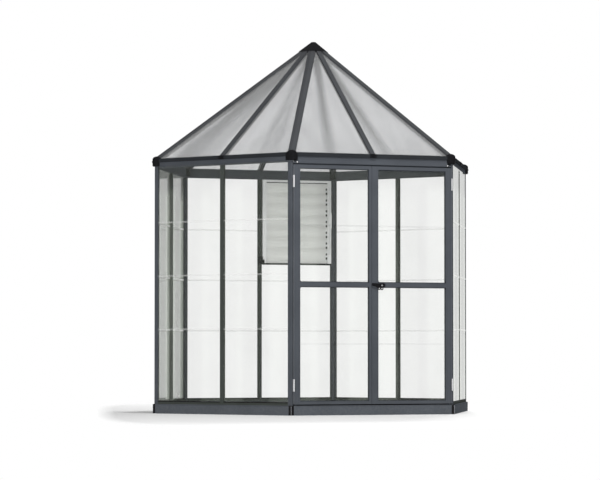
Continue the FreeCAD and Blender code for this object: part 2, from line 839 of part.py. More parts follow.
def make_feet(cap_face):
    back = "-trim_projection"
    front = "-trim_projection - rib_foot_depth"
    level = "(trim_top_height - trim_height / 2)"
    section = wall_section([
        (back, "trim_top_height - trim_height"),
        (back, "trim_top_height"),
        (f"{front} + rib_foot_depth / 2", "trim_top_height"),
        (front, "trim_top_height - rib_foot_depth / 2"),
        (front, "trim_top_height - trim_height"),
    ])
    foot = run_along_wall("rib_foot", [section], "rib_foot_width")
    hole = new_sketch(foot, "rib_foot_hole", "XZ_Plane")
    draw_circle(hole, ("0", level), "bolt_diameter / 2 + running_clearance")
    add_through_cut(foot, hole)
    repeated("rib_feet", foot, [wall_turn(wall) for wall in WALLS])

    head = new_rod("bolt_head", ("0", "0", "0"), "bolt_head_diameter / 2", "bolt_head_height", Y_AXIS * -1)
    shank = new_rod("bolt_shank", ("0", "0", "0"), "bolt_diameter / 2", "rib_foot_depth", Y_AXIS)
    foot_bolt = fused("foot_bolt", [head, shank])
    foot_place = Placement(point_at("0", inward(front), level), Rotation())
    bolts = copies("foot_bolt", foot_bolt, [wall_turn(wall, foot_place) for wall in WALLS])
    centre = ("0", "0", "0")
    cap_bolt = new_rod("cap_bolt", centre, "bolt_head_diameter / 2", "bolt_head_height", Y_AXIS * -1)
    cap_level = "post_top + corner_cap_height / 2"
    cap_place = Placement(point_at("0", cap_face, cap_level), Rotation())
    bolts += copies("cap_bolt", cap_bolt, [corner_turn(corner, cap_place) for corner in WALLS])
    grouped("eave_bolts", bolts)


# Apex: a hub that the ribs lean on, a pyramid cap over them, and the bolt that draws the cap down.

def hexagon(radius):
    return [(f"({radius}) * cos({60 * i})", f"({radius}) * sin({60 * i})") for i in range(6)]


def make_apex():
    hub = document.addObject("PartDesign::Body", "hub")
    profile = new_sketch(hub, "hub_profile", "XZ_Plane")
    bore = "apex_bolt_diameter / 2 + running_clearance"
    draw_polygon(profile, [
        (bore, "hub_level - hub_drop"),
        ("hub_radius", "hub_level - hub_drop"),
        ("hub_radius", "hub_level + hub_rim"),
        ("hub_shoulder_radius", "hub_top"),
        (bore, "hub_top"),
    ])
    turn = hub.newObject("PartDesign::Revolution", "hub_turn")
    turn.Profile = profile
    turn.ReferenceAxis = (profile, ["V_Axis"])
    turn.Angle = 360
    keep(hub, "apex_hub")

    cap = document.addObject("PartDesign::Body", "cap")
    rim = new_sketch(cap, "cap_rim_outline", "XY_Plane", "cap_rim")
    draw_polygon(rim, hexagon("apex_cap_radius"))
    tip = new_sketch(cap, "cap_tip_outline", "XY_Plane", "cap_tip")
    draw_polygon(tip, hexagon("apex_tip_radius"))
    shell = cap.newObject("PartDesign::AdditiveLoft", "cap_shell")
    shell.Profile = rim
    shell.Sections = [tip]
    shell.Ruled = True
    mouth = new_sketch(cap, "cap_mouth_outline", "XY_Plane", "cap_rim")
    draw_polygon(mouth, hexagon("(cap_inner_peak - cap_rim) / tan(hip_pitch)"))
    crown = new_sketch(cap, "cap_crown_outline", "XY_Plane", "cap_roof")
    draw_polygon(crown, hexagon("(cap_inner_peak - cap_roof) / tan(hip_pitch)"))
    hollow = cap.newObject("PartDesign::SubtractiveLoft", "cap_hollow")
    hollow.Profile = mouth
    hollow.Sections = [crown]
    hollow.Ruled = True
    boss = new_sketch(cap, "cap_boss_outline", "XY_Plane", "hub_top")
    draw_circle(boss, ("0", "0"), "apex_boss_radius")
    add_pad(cap, boss, "cap_roof + apex_cap_thickness - hub_top")
    thread = new_sketch(cap, "cap_thread_outline", "XY_Plane", "hub_top")
    draw_circle(thread, ("0", "0"), "apex_bolt_diameter / 2 + running_clearance")
    drill = cap.newObject("PartDesign::Pocket", "cap_thread")
    drill.Profile = thread
    drill.setExpression("Length", bound("apex_bolt_engagement"))
    drill.Reversed = True
    keep(cap, "apex_cap")

    under = "hub_level - hub_drop"
    head = new_rod(
        "apex_bolt_head", ("0", "0", f"{under} - apex_bolt_head_height"),
        "apex_bolt_head_diameter / 2", "apex_bolt_head_height",
    )
    length = "hub_top + apex_bolt_engagement - seat_gap - (hub_level - hub_drop)"
    shank = new_rod("apex_bolt_shank", ("0", "0", under), "apex_bolt_diameter / 2", length)
    keep(fused("bolt", [head, shank]), "apex_bolt")


# Doorway: header and threshold with their door stops, magnets, and the fixed halves of the hinges.

def make_doorway():
    header = run_along_wall("header", [wall_section([
        ("-header_projection", "header_bottom"),
        ("stop_face", "header_bottom"),
        ("stop_face", "eave_height"),
        ("beam_lip_setback", "eave_height"),
        ("beam_lip_setback", "lip_top"),
        ("0", "lip_top"),
        ("0", "header_bottom + header_height"),
        ("-header_projection", "header_bottom + header_height"),
    ])], "2 * (wall_half - corner_cap_wing - seat_gap)")
    end = new_sketch(header, "header_end", "YZ_Plane")
    draw_polygon(end, wall_section([
        ("-header_projection", "header_bottom"),
        ("stop_face - seat_gap", "header_bottom"),
        ("stop_face - seat_gap", "eave_height"),
        ("-header_projection", "eave_height"),
    ]))
    add_pad(header, end, "2 * (jamb_edge - seat_gap)", symmetric=True)
    stop = new_sketch(header, "header_stop", "YZ_Plane")
    draw_polygon(stop, wall_section([
        ("stop_face", "door_top - door_stop_lap"),
        ("stop_face + door_stop_sheet", "door_top - door_stop_lap"),
        ("stop_face + door_stop_sheet", "eave_height"),
        ("stop_face", "eave_height"),
    ]))
    add_pad(header, stop, "2 * (stop_edge - seat_gap)", symmetric=True)
    keep(header, "door_header")

    tread_top = "base_height + threshold_sheet"
    threshold = run_along_wall("threshold", [wall_section([
        ("-threshold_projection", "base_height"),
        ("stop_face + door_stop_sheet", "base_height"),
        ("stop_face + door_stop_sheet", "door_bottom + door_stop_lap"),
        ("stop_face", "door_bottom + door_stop_lap"),
        ("stop_face", tread_top),
        ("-threshold_projection", tread_top),
    ])], "2 * (stop_edge - seat_gap)")
    keep(threshold, "door_threshold")

    magnets = []
    for side in BAYS:
        middle = f"{side} * (magnet_width + meeting_gap) / 2 - meeting_offset"
        depth = inward("stop_face + door_stop_sheet")
        low = (f"{middle} - magnet_width / 2", depth, "eave_height - magnet_height")
        high = (
            f"{middle} + magnet_width / 2",
            inward("stop_face + door_stop_sheet + magnet_depth"),
            "eave_height",
        )
        magnets.append(new_box("magnet", low, high))
    grouped("door_magnets", magnets)


def hinge_half(name, side, fixed):
    """Return one half of a hinge, standing on z 0: a plate in the door gap, and its share of the knuckle."""
    axis = f"{side} * hinge_axis"
    if fixed:
        near, far = f"{side} * (jamb_edge - hinge_plate)", f"{side} * jamb_edge"
        barrels = ["0", "2 * (knuckle_length + knuckle_gap)"]
    else:
        near, far = f"{side} * leaf_edge", f"{side} * (leaf_edge + hinge_plate)"
        barrels = ["knuckle_length + knuckle_gap"]
    left, right = (near, far) if side > 0 else (far, near)
    cleared = "hinge_depth + knuckle_radius + knuckle_gap"
    plate = new_box(
        f"{name}_plate", (left, inward(cleared), "0"), (right, inward("hinge_plate_reach"), "hinge_height"),
    )
    pieces = [plate]
    for bottom in barrels:
        top = f"{bottom} + knuckle_length"
        near, far = (left, inward("hinge_depth"), bottom), (right, inward(cleared), top)
        pieces.append(new_box(f"{name}_tab", near, far))
        pieces.append(new_rod(
            f"{name}_barrel", (axis, inward("hinge_depth"), bottom), "knuckle_radius", "knuckle_length",
        ))
    bore = new_rod(f"{name}_bore", (axis, inward("hinge_depth"), "0"), "hinge_bore", "hinge_height")
    return cut_from(name, fused(f"{name}_solid", pieces), bore)


def hinge_places():
    levels = ("low_hinge_level", "high_hinge_level")
    return [Placement(Vector(0, 0, number(f"{level} - hinge_height / 2")), Rotation()) for level in levels]


def make_fixed_hinges():
    halves = []
    pins = []
    for side, name in zip(BAYS, ("left", "right")):
        half = hinge_half(f"{name}_fixed_hinge", side, fixed=True)
        halves += copies(f"{name}_fixed_hinge", half, hinge_places())
        axis = (f"{side} * hinge_axis", inward("hinge_depth"))
        for level in ("low_hinge_level", "high_hinge_level"):
            foot = (*axis, f"{level} - hinge_height / 2")
            pins.append(new_rod(f"{name}_hinge_pin", foot, "hinge_pin_radius", "hinge_height"))
    grouped("hinge_post_leaves", halves)
    grouped("hinge_pins", pins)


# Door leaves: slotted stiles and rails around four panes, with a strip over each pane joint.

def slotted_section(low, high, low_slot, high_slot):
    """Return the outline and void of a leaf member, as pairs of place across it and depth."""
    slot_front = "leaf_pane_depth - slot_width / 2"
    slot_rear = "leaf_pane_depth + slot_width / 2"
    outline = [(low, "door_front"), (high, "door_front")]
    if high_slot:
        floor = f"{high} - slot_depth"
        outline += [(high, slot_front), (floor, slot_front), (floor, slot_rear), (high, slot_rear)]
    outline += [(high, "door_back"), (low, "door_back")]
    if low_slot:
        floor = f"{low} + slot_depth"
        outline += [(low, slot_rear), (floor, slot_rear), (floor, slot_front), (low, slot_front)]
    void_low = f"{low} + profile_wall" + (" + slot_depth" if low_slot else "")
    void_high = f"{high} - profile_wall" + (" - slot_depth" if high_slot else "")
    front, rear = "door_front + profile_wall", "door_back - profile_wall"
    void = [(void_low, front), (void_high, front), (void_high, rear), (void_low, rear)]
    return outline, void


def make_gusset(name, x_side, z_side):
    """Return a corner gusset with a hollow edge, whose corner is at x 0 and z 0."""
    body = document.addObject("PartDesign::Body", name)
    sketch = new_sketch(body, f"{name}_outline", "XZ_Plane")
    draw_polygon(sketch, [
        ("0", "0"),
        (f"{x_side} * gusset_leg", "0"),
        (f"{x_side} * gusset_waist", f"{z_side} * gusset_waist"),
        ("0", f"{z_side} * gusset_leg"),
    ])
    add_pad(body, sketch, "gusset_thickness")
    return body


def make_leaf(name, side):
    """Make one door leaf, hinged on its outer edge."""
    free = f"{side} * meeting_gap / 2 - meeting_offset"
    hinge = f"{side} * leaf_edge"
    meeting_width = "right_meeting_width" if side > 0 else "left_meeting_width"
    hinge_inner = f"{side} * (leaf_edge - hinge_stile_width)"
    meeting_inner = f"{free} + {side} * {meeting_width}"
    spans = {
        "hinge_stile": (hinge_inner, hinge) if side > 0 else (hinge, hinge_inner),
        "meeting_stile": (free, meeting_inner) if side > 0 else (meeting_inner, free),
    }
    stiles = []
    for stile, (low, high) in spans.items():
        slot_low = (stile == "hinge_stile") == (side > 0)
        outlines = slotted_section(low, high, slot_low, not slot_low)
        section = [[(x, inward(depth)) for x, depth in outline] for outline in outlines]
        body = upright(f"{name}_{stile}", section, "door_bottom", "door_top")
        if stile == "meeting_stile" and side > 0:
            bore = new_sketch(body, "spindle_bore", "XZ_Plane")
            draw_circle(bore, ("handle_pivot", "middle_rail_level"), "spindle_radius + running_clearance")
            add_through_cut(body, bore)
        stiles.append(body)
    grouped(f"{name}_stiles", stiles)

    left, right = (meeting_inner, hinge_inner) if side > 0 else (hinge_inner, meeting_inner)
    width = f"({right}) - ({left})"
    centre = number(f"(({right}) + ({left})) / 2")
    levels = {
        "bottom_rail": ("door_bottom", "door_bottom + bottom_rail_height", False, True),
        "middle_rail": ("middle_rail_bottom", "middle_rail_top", True, True),
        "top_rail": ("door_top - top_rail_height", "door_top", True, False),
    }
    rails = []
    for rail, (low, high, low_slot, high_slot) in levels.items():
        outlines = slotted_section(low, high, low_slot, high_slot)
        section = [[(inward(depth), z) for z, depth in outline] for outline in outlines]
        body = run_along_wall(f"{name}_{rail}", section, width)
        body.Placement = Placement(Vector(centre, 0, 0), Rotation())
        rails.append(body)
    grouped(f"{name}_rails", rails)

    panes = []
    strips = []
    front = inward("leaf_pane_depth - pane_thickness / 2")
    back = inward("leaf_pane_depth + pane_thickness / 2")
    halves = [
        ("door_bottom + bottom_rail_height", "middle_rail_bottom"),
        ("middle_rail_top", "door_top - top_rail_height"),
    ]
    half_slot = "slot_width / 2"
    flange = f"{half_slot} + strip_flange"
    reach, web = "strip_height / 2", "strip_web / 2"
    quarter = [
        (flange, reach), (half_slot, reach), (half_slot, web),
    ]
    ring = list(quarter)
    ring += [(f"-({d})", z) for d, z in reversed(quarter)]
    ring += [(f"-({d})", f"-({z})") for d, z in quarter]
    ring += [(d, f"-({z})") for d, z in reversed(quarter)]
    section = [(inward(f"leaf_pane_depth + {depth}"), z) for depth, z in ring]
    strip = run_along_wall(f"{name}_strip", [section], f"{width} - 2 * seat_gap")
    for bottom, top in halves:
        joint = f"({bottom} + {top}) / 2"
        ends = [
            (f"{bottom} - pane_lap", f"{joint} - joint_half_gap"),
            (f"{joint} + joint_half_gap", f"{top} + pane_lap"),
        ]
        for low, high in ends:
            corners = (f"{left} - pane_lap", front, low), (f"{right} + pane_lap", back, high)
            panes.append(new_box(f"{name}_pane", *corners))
        strips += copies(f"{name}_strip", strip, [Placement(Vector(centre, 0, number(joint)), Rotation())])
    grouped(f"{name}_panes", panes)
    grouped(f"{name}_pane_strips", strips)

    gussets = []
    spare = "(door_thickness / 2 - slot_width / 2 - gusset_thickness)"
    depth = number(inward(f"door_front + gusset_thickness + {spare} / 2"))
    for x_side, x in ((1, left), (-1, right)):
        for z_side, z in ((-1, "middle_rail_bottom"), (1, "middle_rail_top")):
            gusset = make_gusset(f"{name}_gusset", x_side, z_side)
            gusset.Placement = Placement(Vector(number(x), depth, number(z)), Rotation())
            gussets.append(gusset)
    grouped(f"{name}_gussets", gussets)

    moving = hinge_half(f"{name}_moving_hinge", side, fixed=False)
    repeated(f"{name}_hinge_leaves", moving, hinge_places())


# Handle on the right leaf, with its backplate, and the latch tongue inside.

def make_handle():
    front = ("handle_pivot", inward("door_front - backplate_thickness"), "middle_rail_level")
    rose = new_rod("backplate_rose", front, "backplate_radius", "backplate_thickness", Y_AXIS)
    opening = new_rod(
        "backplate_bore", front, "spindle_radius + running_clearance", "backplate_thickness", Y_AXIS,
    )
    keep(cut_from("backplate", rose, opening), "handle_backplate")

    lever = document.addObject("PartDesign::Body", "lever")
    arm = new_sketch(lever, "lever_arm", "XZ_Plane")
    draw_polygon(arm, [
        ("-handle_arm", "handle_rise"),
        ("-handle_arm", "-handle_drop"),
        ("handle_grip_start", "-handle_drop"),
        ("handle_grip_start + handle_grip_taper", "-handle_grip_drop"),
        ("handle_tail - handle_grip_taper", "-handle_grip_drop"),
        ("handle_tail", "-handle_end_half"),
        ("handle_tail", "handle_end_half"),
        ("handle_tail - handle_grip_taper", "handle_rise"),
    ])
    add_pad(lever, arm, "handle_thickness")
    spindle = new_sketch(lever, "lever_spindle", "XZ_Plane")
    draw_circle(spindle, ("0", "0"), "spindle_radius")
    shaft = add_pad(lever, spindle, "tongue_front - handle_back")
    shaft.Reversed = True
    lever_place = point_at("handle_pivot", inward("handle_back"), "middle_rail_level")
    lever.Placement = Placement(lever_place, Rotation())
    keep(lever, "door_handle")

    tongue = document.addObject("PartDesign::Body", "tongue")
    outline = new_sketch(tongue, "tongue_outline", "XZ_Plane")
    half = "tongue_width / 2"
    draw_polygon(outline, [
        (f"-{half}", half), (f"-{half}", f"{half} - tongue_length"),
        (half, f"{half} - tongue_length"), (half, half),
    ])
    add_pad(tongue, outline, "tongue_thickness")
    tongue_place = point_at("handle_pivot", inward("tongue_back"), "middle_rail_level")
    tongue.Placement = Placement(tongue_place, Rotation())
    keep(tongue, "latch_tongue")


# Louvre window in one bay of the back wall: frame, blades in their end clips, link bar and lever.

def louvre_place(placement=Placement()):
    return wall_turn(BACK_WALL, placement)


def louvre_x(side, distance):
    """Return the X formula of a distance from the louvre's middle towards one of its jambs."""
    return f"{LOUVRE_BAY} * louvre_middle + {side} * ({distance})"


def make_louvre_frame():
    jambs = []
    inner = "louvre_width / 2 - louvre_jamb_width"
    for side in BAYS:
        face = louvre_x(side, inner)
        back = louvre_x(side, f"{inner} + louvre_web")
        edge = louvre_x(side, "louvre_width / 2")
        flange = "louvre_depth - louvre_flange"
        outline = [
            (face, inward("0")), (edge, inward("0")), (edge, inward("louvre_flange")),
            (back, inward("louvre_flange")), (back, inward(flange)), (edge, inward(flange)),
            (edge, inward("louvre_depth")), (face, inward("louvre_depth")),
        ]
        jamb = upright(f"louvre_jamb_{side + 2}", [outline], "louvre_bottom", "louvre_top")
        bores = new_sketch(jamb, f"louvre_bores_{side + 2}", "YZ_Plane")
        for blade in range(BLADE_COUNT):
            centre = (inward("louvre_axis"), f"first_pivot_level + {blade} * blade_pitch")
            draw_circle(bores, centre, "pivot_radius + running_clearance")
        add_through_cut(jamb, bores)
        jamb.Placement = louvre_place()
        jambs.append(jamb)
    grouped("louvre_jambs", jambs)
    for name, bottom, top in (
        ("louvre_sill", "louvre_bottom", "louvre_bottom + louvre_sill_height"),
        ("louvre_head", "louvre_top - louvre_head_height", "louvre_top"),
    ):
        box = new_box(
            f"{name}_bar", (louvre_x(-1, inner), inward("0"), bottom),
            (louvre_x(1, inner), inward("louvre_depth"), top),
        )
        repeated(name, box, [louvre_place()])


def blade_place(blade):
    """Return the place of a blade, whose own frame has its pivot line along X at the middle of its length."""
    level = f"first_pivot_level + {blade} * blade_pitch"
    pivot = point_at(f"{LOUVRE_BAY} * louvre_middle", inward("louvre_axis"), level)
    return louvre_place(Placement(pivot, Rotation(X_AXIS, -number("blade_tilt"))))


def make_clip(side):
    """Return the clip at one end of a blade, with its pivot and, on the driven side, its crank."""
    name = f"clip_{side + 2}"
    outer = f"{side} * clip_span / 2"
    inner = f"{side} * (clip_span / 2 - clip_length)"
    floor = f"{side} * (clip_span / 2 - clip_plate)"
    left, right = (inner, outer) if side > 0 else (outer, inner)
    block = new_box(
        f"{name}_block", (left, "-clip_thickness / 2", "-clip_height / 2"),
        (right, "clip_thickness / 2", "clip_height / 2"),
    )
    left, right = (inner, floor) if side > 0 else (floor, inner)
    groove = new_box(
        f"{name}_groove",
        (left, "-clip_slot / 2", "-clip_height / 2"), (right, "clip_slot / 2", "clip_height / 2"),
    )
    reach = "clip_gap + louvre_web"
    pivot = new_rod(f"{name}_pivot", (outer, "0", "0"), "pivot_radius", reach, X_AXIS * side)
    pieces = [cut_from(f"{name}_channel", block, groove), pivot]
    if side == DRIVEN_SIDE:
        crank = document.addObject("PartDesign::Body", f"{name}_crank")
        outline = new_sketch(crank, f"{name}_crank_outline", "YZ_Plane", outer)
        half = "crank_width / 2"
        across = f"{half} * sin(crank_angle)", f"{half} * cos(crank_angle)"
        tip = "crank_radius * cos(crank_angle)", "crank_radius * sin(crank_angle)"
        draw_polygon(outline, [
            (across[0], f"-({across[1]})"),
            (f"{tip[0]} + {across[0]}", f"{tip[1]} - {across[1]}"),
            (f"{tip[0]} - {across[0]}", f"{tip[1]} + {across[1]}"),
            (f"-({across[0]})", across[1]),
        ])
        add_pad(crank, outline, "clip_plate")
        ending = new_sketch(crank, f"{name}_crank_end", "YZ_Plane", outer)
        draw_circle(ending, tip, half)
        add_pad(crank, ending, "clip_plate")
        pin = new_rod(
            f"{name}_crank_pin", (outer, *tip),
            "crank_pin_radius", "seat_gap + link_thickness", X_AXIS * side,
        )
        pieces += [crank, pin]
    return fused(name, pieces)


def make_louvre_blades():
    low = ("-blade_length / 2", "-blade_thickness / 2", "-blade_height / 2")
    high = ("blade_length / 2", "blade_thickness / 2", "blade_height / 2")
    pane = new_box("blade_pane", low, high)
    clips = [make_clip(side) for side in BAYS]
    for blade in range(BLADE_COUNT):
        place = blade_place(blade)
        repeated(f"louvre_blade_{blade + 1}", pane, [place])
        pair = [link for clip in clips for link in copies("blade_clip", clip, [place])]
        grouped(f"louvre_clips_{blade + 1}", pair)


def make_louvre_link():
    outer = louvre_x(DRIVEN_SIDE, "clip_span / 2 + seat_gap + link_thickness")
    inner = louvre_x(DRIVEN_SIDE, "clip_span / 2 + seat_gap")
    middle = "louvre_axis + crank_reach"
    first = "first_pivot_level + crank_rise"
    last = f"{first} + {BLADE_COUNT - 1} * blade_pitch"
    low = (outer, inward(f"{middle} - link_width / 2"), f"{first} - link_overrun")
    high = (inner, inward(f"{middle} + link_width / 2"), f"{last} + link_overrun")
    bar = new_box("link_blank", low, high)
    bores = []
    for blade in range(BLADE_COUNT):
        start = (outer, inward(middle), f"{first} + {blade} * blade_pitch")
        radius = "crank_pin_radius + running_clearance"
        bores.append(new_rod("link_bore", start, radius, "link_thickness", X_AXIS))
    link = cut_from("link", bar, fused("link_bores", bores))
    repeated("louvre_link_bar", link, [louvre_place()])
    centre = f"{first} + {BLADE_COUNT // 2} * blade_pitch"
    front = f"{middle} + link_width / 2"
    lever = new_box(
        "louvre_grip",
        (f"{inner} - lever_width", inward(front), f"{centre} - lever_length / 2"),
        (inner, inward(f"{front} + lever_depth"), f"{centre} + lever_length / 2"),
    )
    repeated("louvre_lever", lever, [louvre_place()])


def check_and_write():
    """Stop on any failed object, then write each sub-part to its own file."""
    document.recompute()
    for item in document.Objects:
        if "Invalid" in item.State or "Error" in item.State:
            raise RuntimeError(f"{item.Label} failed: {item.State}")
    for piece in sub_parts:
        if piece.Shape.isNull() or not piece.Shape.isValid():
            raise RuntimeError(f"{piece.Label} has no valid shape")
    os.makedirs("parts", exist_ok=True)
    for piece in sub_parts:
        piece.Shape.exportStep(os.path.join("parts", f"{piece.Label}.step"))
        print(piece.Label, len(piece.Shape.Solids))


make_base()
make_posts()
make_rails()
cap_bolt_face = make_corner_caps()
make_wall_panes()
make_ribs()
make_roof_panels()
make_feet(cap_bolt_face)
make_apex()
make_doorway()
make_fixed_hinges()
make_leaf("left_door", -1)
make_leaf("right_door", 1)
make_handle()
make_louvre_frame()
make_louvre_blades()
make_louvre_link()
check_and_write()
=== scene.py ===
"""Looks for a hexagonal greenhouse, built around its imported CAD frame. Lengths are in metres."""

from __future__ import annotations

import logging
import math
from collections.abc import Iterable
from dataclasses import dataclass, field
from enum import Enum

import bmesh
import bpy
from mathutils import Matrix, Vector

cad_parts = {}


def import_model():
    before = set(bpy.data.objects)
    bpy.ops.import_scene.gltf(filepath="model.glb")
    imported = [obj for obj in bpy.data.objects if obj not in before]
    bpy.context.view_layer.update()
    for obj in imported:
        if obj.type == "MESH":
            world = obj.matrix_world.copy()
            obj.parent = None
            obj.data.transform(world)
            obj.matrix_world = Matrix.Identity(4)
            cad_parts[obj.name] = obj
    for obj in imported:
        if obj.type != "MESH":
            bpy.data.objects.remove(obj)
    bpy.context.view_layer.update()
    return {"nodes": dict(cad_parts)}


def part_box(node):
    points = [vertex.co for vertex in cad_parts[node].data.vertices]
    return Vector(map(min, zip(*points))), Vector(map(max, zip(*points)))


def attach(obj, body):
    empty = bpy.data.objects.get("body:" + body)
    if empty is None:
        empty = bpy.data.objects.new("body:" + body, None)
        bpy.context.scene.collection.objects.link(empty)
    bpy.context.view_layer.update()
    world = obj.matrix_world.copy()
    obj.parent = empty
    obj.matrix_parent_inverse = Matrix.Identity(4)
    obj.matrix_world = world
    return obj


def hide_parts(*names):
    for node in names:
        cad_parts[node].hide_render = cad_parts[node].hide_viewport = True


log = logging.getLogger("greenhouse")

Colour = tuple[float, float, float]
Point = tuple[float, float, float]
Pair = tuple[float, float]
Box = tuple[Point, Point]

UP: Point = (0.0, 0.0, 1.0)
# From the front wall towards the middle.
INWARD: Point = (0.0, 1.0, 0.0)
WALLS = 6
# Both turns are in degrees.
WALL_TURN = 60.0
SMOOTH_TURN = 38.0
# The bevel tool's profile for a round edge.
ROUND_PROFILE = 0.5


class Body(str, Enum):
    """The moving bodies that pieces ride on."""

    FRAME = "frame"
    LEFT_DOOR = "left_door"
    RIGHT_DOOR = "right_door"
    HANDLE = "door_handle"


class Slot(str, Enum):
    """Names of material slots for the new pieces."""

    PROFILE = "frame_profile"
    BLACK = "black_plastic"
    STEEL = "steel_fixings"


class NodeSheet:
    """A node tree with short calls for adding and joining nodes."""

    def __init__(self, tree: bpy.types.NodeTree) -> None:
        """Keep the tree that the nodes go into."""
        self.tree = tree

    def add(self, kind: str, **settings: object) -> bpy.types.Node:
        """Add a node.

        Args:
            kind: The node's type name.
            settings: Attributes of the node to set.

        Returns:
            The new node.
        """
        node = self.tree.nodes.new(kind)
        for name, value in settings.items():
            setattr(node, name, value)
        return node

    def feed(self, socket: bpy.types.NodeSocket, source: object) -> None:
        """Link a socket to another one, or set it to a plain value.

        Args:
            socket: The input to feed.
            source: An output's socket or a plain value.
        """
        if isinstance(source, bpy.types.NodeSocket):
            self.tree.links.new(source, socket)
        else:
            socket.default_value = source

    def math(
        self, operation: str, first: object, second: object = 0.0, clamp: bool = False
    ) -> bpy.types.NodeSocket:
        """Add a math node.

        Args:
            operation: The math node's operation.
            first: A socket or number.
            second: A socket or number.
            clamp: Whether the result is kept between 0 and 1.

        Returns:
            The result's socket.
        """
        node = self.add("ShaderNodeMath", operation=operation, use_clamp=clamp)
        self.feed(node.inputs[0], first)
        self.feed(node.inputs[1], second)
        return node.outputs[0]

    def vector_math(self, operation: str, first: object, second: object = (0.0, 0.0, 0.0)) -> bpy.types.Node:
        """Add a vector math node.

        Args:
            operation: The node's operation.
            first: A socket or vector.
            second: A socket or vector.

        Returns:
            The new node.
        """
        node = self.add("ShaderNodeVectorMath", operation=operation)
        self.feed(node.inputs[0], first)
        self.feed(node.inputs[1], second)
        return node

    def part(self, vector: object, way: str) -> bpy.types.NodeSocket:
        """Take one part of a vector.

        Args:
            vector: The vector's socket.
            way: X, Y or Z.

        Returns:
            The part's socket.
        """
        node = self.add("ShaderNodeSeparateXYZ")
        self.feed(node.inputs[0], vector)
        return node.outputs[way]

    def level_distance(self, place: object, normal: object) -> bpy.types.NodeSocket:
        """Measure how far along a face a place is, on a level line from the face's middle.

        Args:
            place: The socket with the place, from the middle of the greenhouse.
            normal: The socket with the face's normal.

        Returns:
            The distance's socket.
        """
        across = self.vector_math("CROSS_PRODUCT", normal, UP).outputs[0]
        level = self.vector_math("NORMALIZE", across).outputs[0]
        return self.vector_math("DOT_PRODUCT", place, level).outputs["Value"]

    def noise(self, vector: object, scale: object, detail: float) -> bpy.types.NodeSocket:
        """Add a noise texture.

        Args:
            vector: The socket with its coordinates.
            scale: A socket or number, in cells per metre.
            detail: The noise's octaves.

        Returns:
            The noise's value socket.
        """
        node = self.add("ShaderNodeTexNoise")
        self.feed(node.inputs["Vector"], vector)
        self.feed(node.inputs["Scale"], scale)
        self.feed(node.inputs["Detail"], detail)
        return node.outputs[0]

    def spread(
        self, value: object, low: float, high: float, to_low: object, to_high: object
    ) -> bpy.types.NodeSocket:
        """Map a value from one range to another, clamped.

        Args:
            value: The socket to map.
            low: The value that gives to_low.
            high: The value that gives to_high.
            to_low: The result at the low value.
            to_high: The result at the high value.

        Returns:
            The result's socket.
        """
        node = self.add("ShaderNodeMapRange")
        self.feed(node.inputs["Value"], value)
        self.feed(node.inputs["From Min"], low)
        self.feed(node.inputs["From Max"], high)
        self.feed(node.inputs["To Min"], to_low)
        self.feed(node.inputs["To Max"], to_high)
        return node.outputs[0]

    def scale_colour(self, colour: object, factor: object) -> bpy.types.NodeSocket:
        """Multiply a colour by a number.

        Args:
            colour: A colour or its socket.
            factor: The number's socket.

        Returns:
            The scaled colour's socket.
        """
        node = self.add("ShaderNodeVectorMath", operation="SCALE")
        self.feed(node.inputs[0], colour)
        self.feed(node.inputs["Scale"], factor)
        return node.outputs[0]


